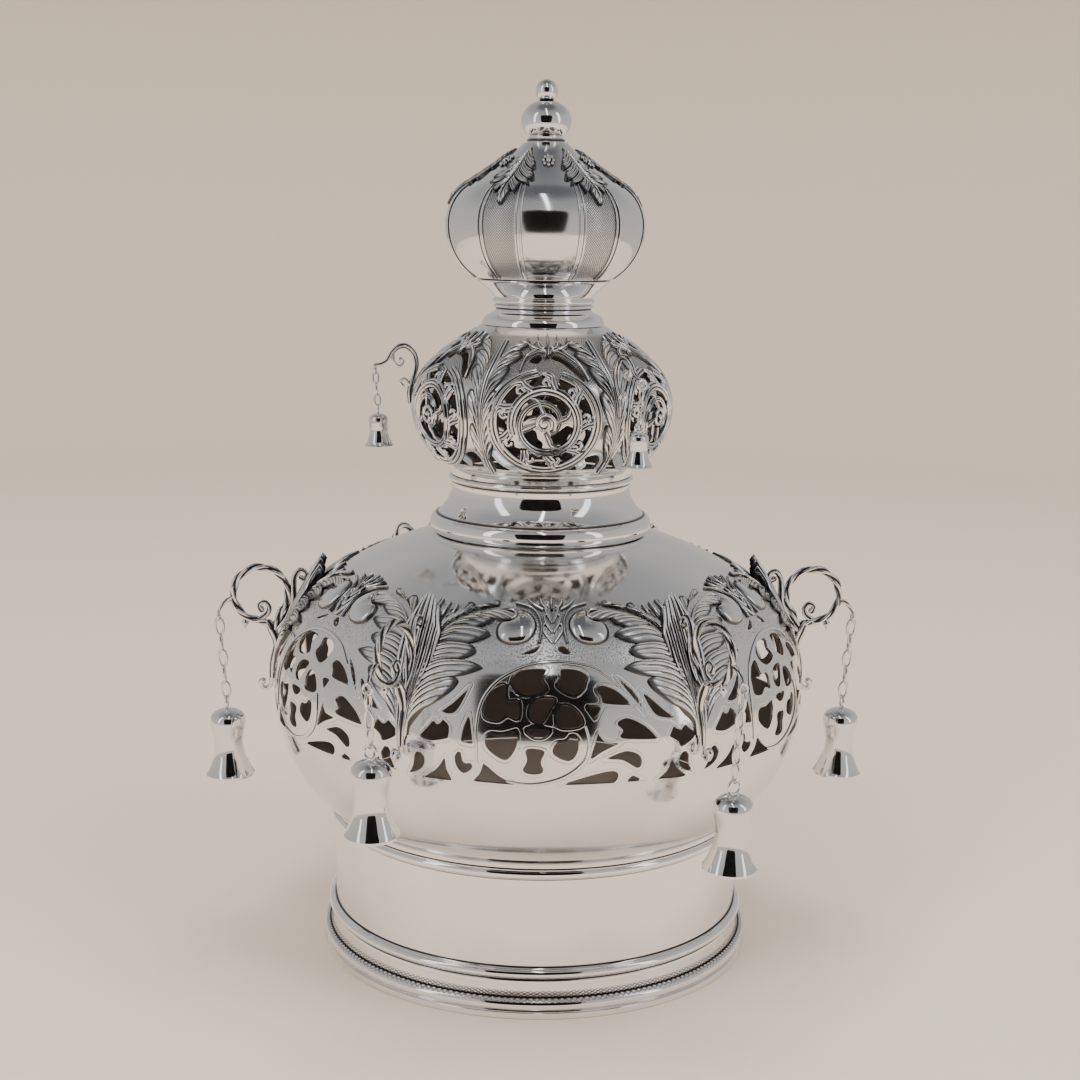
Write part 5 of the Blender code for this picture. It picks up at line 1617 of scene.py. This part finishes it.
class CROWN_OT_stage(CrownOperator, bpy.types.Operator):
    """Sets the paper sweep, the soft lights and the camera at the photograph's angle"""

    bl_idname = "crown.stage"
    bl_label = "Stage"

    def execute(self, context):
        sweep = [(0, 0), (1200, 0), (1500, 0)] + arc((1500, 700), 700, -90, 0, 20)[1:] + [(2200, 2600)]
        sweep = turned(sweep, backdrop_material(), closed=False, steps=96)
        paper = bpy.data.objects.new("paper_sweep", sweep)
        context.scene.collection.objects.link(paper)
        self.tent()
        self.panel("lens_card", -3.3, 19, 0.86, (0.77, 0.76), 0.0, rounded=0.1)
        self.panel("overhead_strip", -1.0, 62, 0.9, (0.045, 0.62), 3.2, lean=6)
        for side in (1, -1):
            self.panel("tall_strip", 58 * side, 26, 0.93, (0.15, 0.95), 1.9)
        for name, place, size, power in LAMPS:
            self.lamp(name, place, size, power)
        self.inner_glow("bowl_glow", 0.12, 0.4)
        self.inner_glow("globe_glow", (GLOBE_Z + GLOBE_BELLY) * MM, 0.08)
        world = bpy.data.worlds.new("studio")
        world.use_nodes = True
        world.node_tree.nodes["Background"].inputs["Color"].default_value = WORLD_COLOUR
        world.node_tree.nodes["Background"].inputs["Strength"].default_value = WORLD_STRENGTH
        context.scene.world = world
        self.camera(context)
        return {"FINISHED"}

    def inner_glow(self, name, height, power):
        """A faint point of light inside a pierced vessel, for what comes in through its holes"""
        light = bpy.data.lights.new(name, "POINT")
        light.energy = power
        light.shadow_soft_size = 0.02
        lamp = bpy.data.objects.new(name, light)
        lamp.location = (0, 0, height)
        lamp.visible_glossy = False
        bpy.context.scene.collection.objects.link(lamp)

    def lamp(self, name, place, size, power):
        """A rectangular soft light that looks at the crown"""
        light = bpy.data.lights.new(name, "AREA")
        light.shape = "RECTANGLE"
        light.size, light.size_y = size
        light.energy = power
        light.color = LAMP_COLOUR
        lamp = bpy.data.objects.new(name, light)
        lamp.location = place
        lamp.visible_glossy = False
        lamp.rotation_euler = (Vector((0, 0, LAMP_AIM)) - Vector(place)).to_track_quat("-Z", "Y").to_euler()
        bpy.context.scene.collection.objects.link(lamp)

    def mirrored_only(self, name, mesh):
        """A part of the studio that only the silver's reflections show"""
        seen = bpy.data.objects.new(name, mesh)
        seen.visible_camera = False
        seen.visible_diffuse = False
        seen.visible_shadow = False
        bpy.context.scene.collection.objects.link(seen)

    def panel(self, name, azimuth, elevation, distance, size, tone, lean=0.0, rounded=0.0):
        """A flat card or a lit strip that faces the crown, with rounded corners if asked"""
        half_x, half_y = size[0] / 2, size[1] / 2
        corners = []
        for quarter, (x, y) in enumerate(((1, 1), (-1, 1), (-1, -1), (1, -1))):
            centre = (x * (half_x - rounded), y * (half_y - rounded))
            turns = np.radians(np.linspace(90 * quarter, 90 * quarter + 90, 8))
            corners += [(centre[0] + rounded * math.cos(t), centre[1] + rounded * math.sin(t), 0)
                        for t in turns]
        mesh = bpy.data.meshes.new(name)
        mesh.from_pydata(corners, [], [list(range(len(corners)))])
        up, side = math.radians(elevation), math.radians(azimuth)
        place = Vector((distance * math.cos(up) * math.sin(side), -distance * math.cos(up) * math.cos(side),
                        CARD_AIM + distance * math.sin(up)))
        facing = (place - Vector((0, 0, CARD_AIM))).to_track_quat("Z", "Y").to_matrix().to_4x4()
        mesh.transform(Matrix.Translation(place) @ facing @ Matrix.Rotation(math.radians(lean), 4, "Z"))
        mesh.materials.append(self.glow(name, (tone, tone, tone)).material)
        self.mirrored_only(name, mesh)

    def glow(self, name, colour):
        """A material that gives off an even colour"""
        shader = Shader(name)
        shader.set("Base Color", (0, 0, 0, 1))
        shader.set("Roughness", 1.0)
        shader.set("Emission Color", colour if isinstance(colour, Sum) else tuple(colour) + (1,))
        shader.set("Emission Strength", 1.0)
        shader.material.cycles.emission_sampling = "NONE"
        return shader

    def tent(self):
        """The tent of pale cloth that the silver mirrors, warm by the floor and cooler above"""
        profile = [(1050, 0)] + arc((0, 300), 1050, 0, 90, 24)
        shader = self.glow("tent_cloth", (0, 0, 0))
        mesh = turned(profile, shader.material, closed=False, steps=64)
        objects = shader.node("ShaderNodeTexCoord", {}, {}, 3)
        height = shader.node("ShaderNodeSeparateXYZ", {}, {"Vector": objects}, 2)
        low = shader.mixed(height.band(0.05, 0.5), TENT_FLOOR, TENT_SIDE)
        high = shader.mixed(height.band(0.6, 1.15), low, TENT_HIGH)
        shader.set("Emission Color", shader.mixed(height.band(1.15, 1.34), high, TENT_TOP))
        self.mirrored_only("tent", mesh)

    def camera(self, context):
        """The photograph's view: a little above the dome's level and turned with the crown"""
        data = bpy.data.cameras.new("camera")
        data.lens = CAMERA_LENS
        data.sensor_width = 36.0
        camera = bpy.data.objects.new("camera", data)
        azimuth = math.radians(-CAMERA_TURN)
        camera.location = (CAMERA_DISTANCE * math.sin(azimuth), -CAMERA_DISTANCE * math.cos(azimuth),
                           CAMERA_HEIGHT)
        aim = Euler((math.radians(90 - CAMERA_PITCH), 0, azimuth)).to_matrix().to_4x4()
        camera.rotation_euler = (aim @ Matrix.Rotation(math.radians(CAMERA_ROLL), 4, "Z")).to_euler()
        context.scene.collection.objects.link(camera)
        context.scene.camera = camera


OPERATORS = (CROWN_OT_stage, CROWN_OT_collar, CROWN_OT_lower_bowl, CROWN_OT_waist, CROWN_OT_middle_globe,
             CROWN_OT_upper_neck, CROWN_OT_onion_dome, CROWN_OT_finial, CROWN_OT_large_brackets,
             CROWN_OT_small_brackets, CROWN_OT_chains, CROWN_OT_bells)


class CROWN_PT_panel(bpy.types.Panel):
    """Lists the crown's sizes, colours and operators"""

    bl_idname = "CROWN_PT_panel"
    bl_label = "Silver Crown"
    bl_space_type = "VIEW_3D"
    bl_region_type = "UI"
    bl_category = "Crown"

    def draw(self, context):
        for group in (context.scene.crown_sizes, context.scene.crown_colours):
            for name in group.__annotations__:
                self.layout.prop(group, name)
        for operator in OPERATORS:
            self.layout.operator(operator.bl_idname)


CLASSES = (CrownSizes, CrownColours) + OPERATORS + (CROWN_PT_panel,)


def register():
    """Adds the classes and the scene's settings"""
    for kind in CLASSES:
        bpy.utils.register_class(kind)
    bpy.types.Scene.crown_sizes = bpy.props.PointerProperty(type=CrownSizes)
    bpy.types.Scene.crown_colours = bpy.props.PointerProperty(type=CrownColours)


def unregister():
    """Removes the scene's settings and the classes"""
    del bpy.types.Scene.crown_colours
    del bpy.types.Scene.crown_sizes
    for kind in reversed(CLASSES):
        bpy.utils.unregister_class(kind)


def main():
    """Builds the stage and every piece"""
    register()
    for operator in OPERATORS:
        group, name = operator.bl_idname.split(".")
        getattr(getattr(bpy.ops, group), name)()


if __name__ == "__main__":
    main()
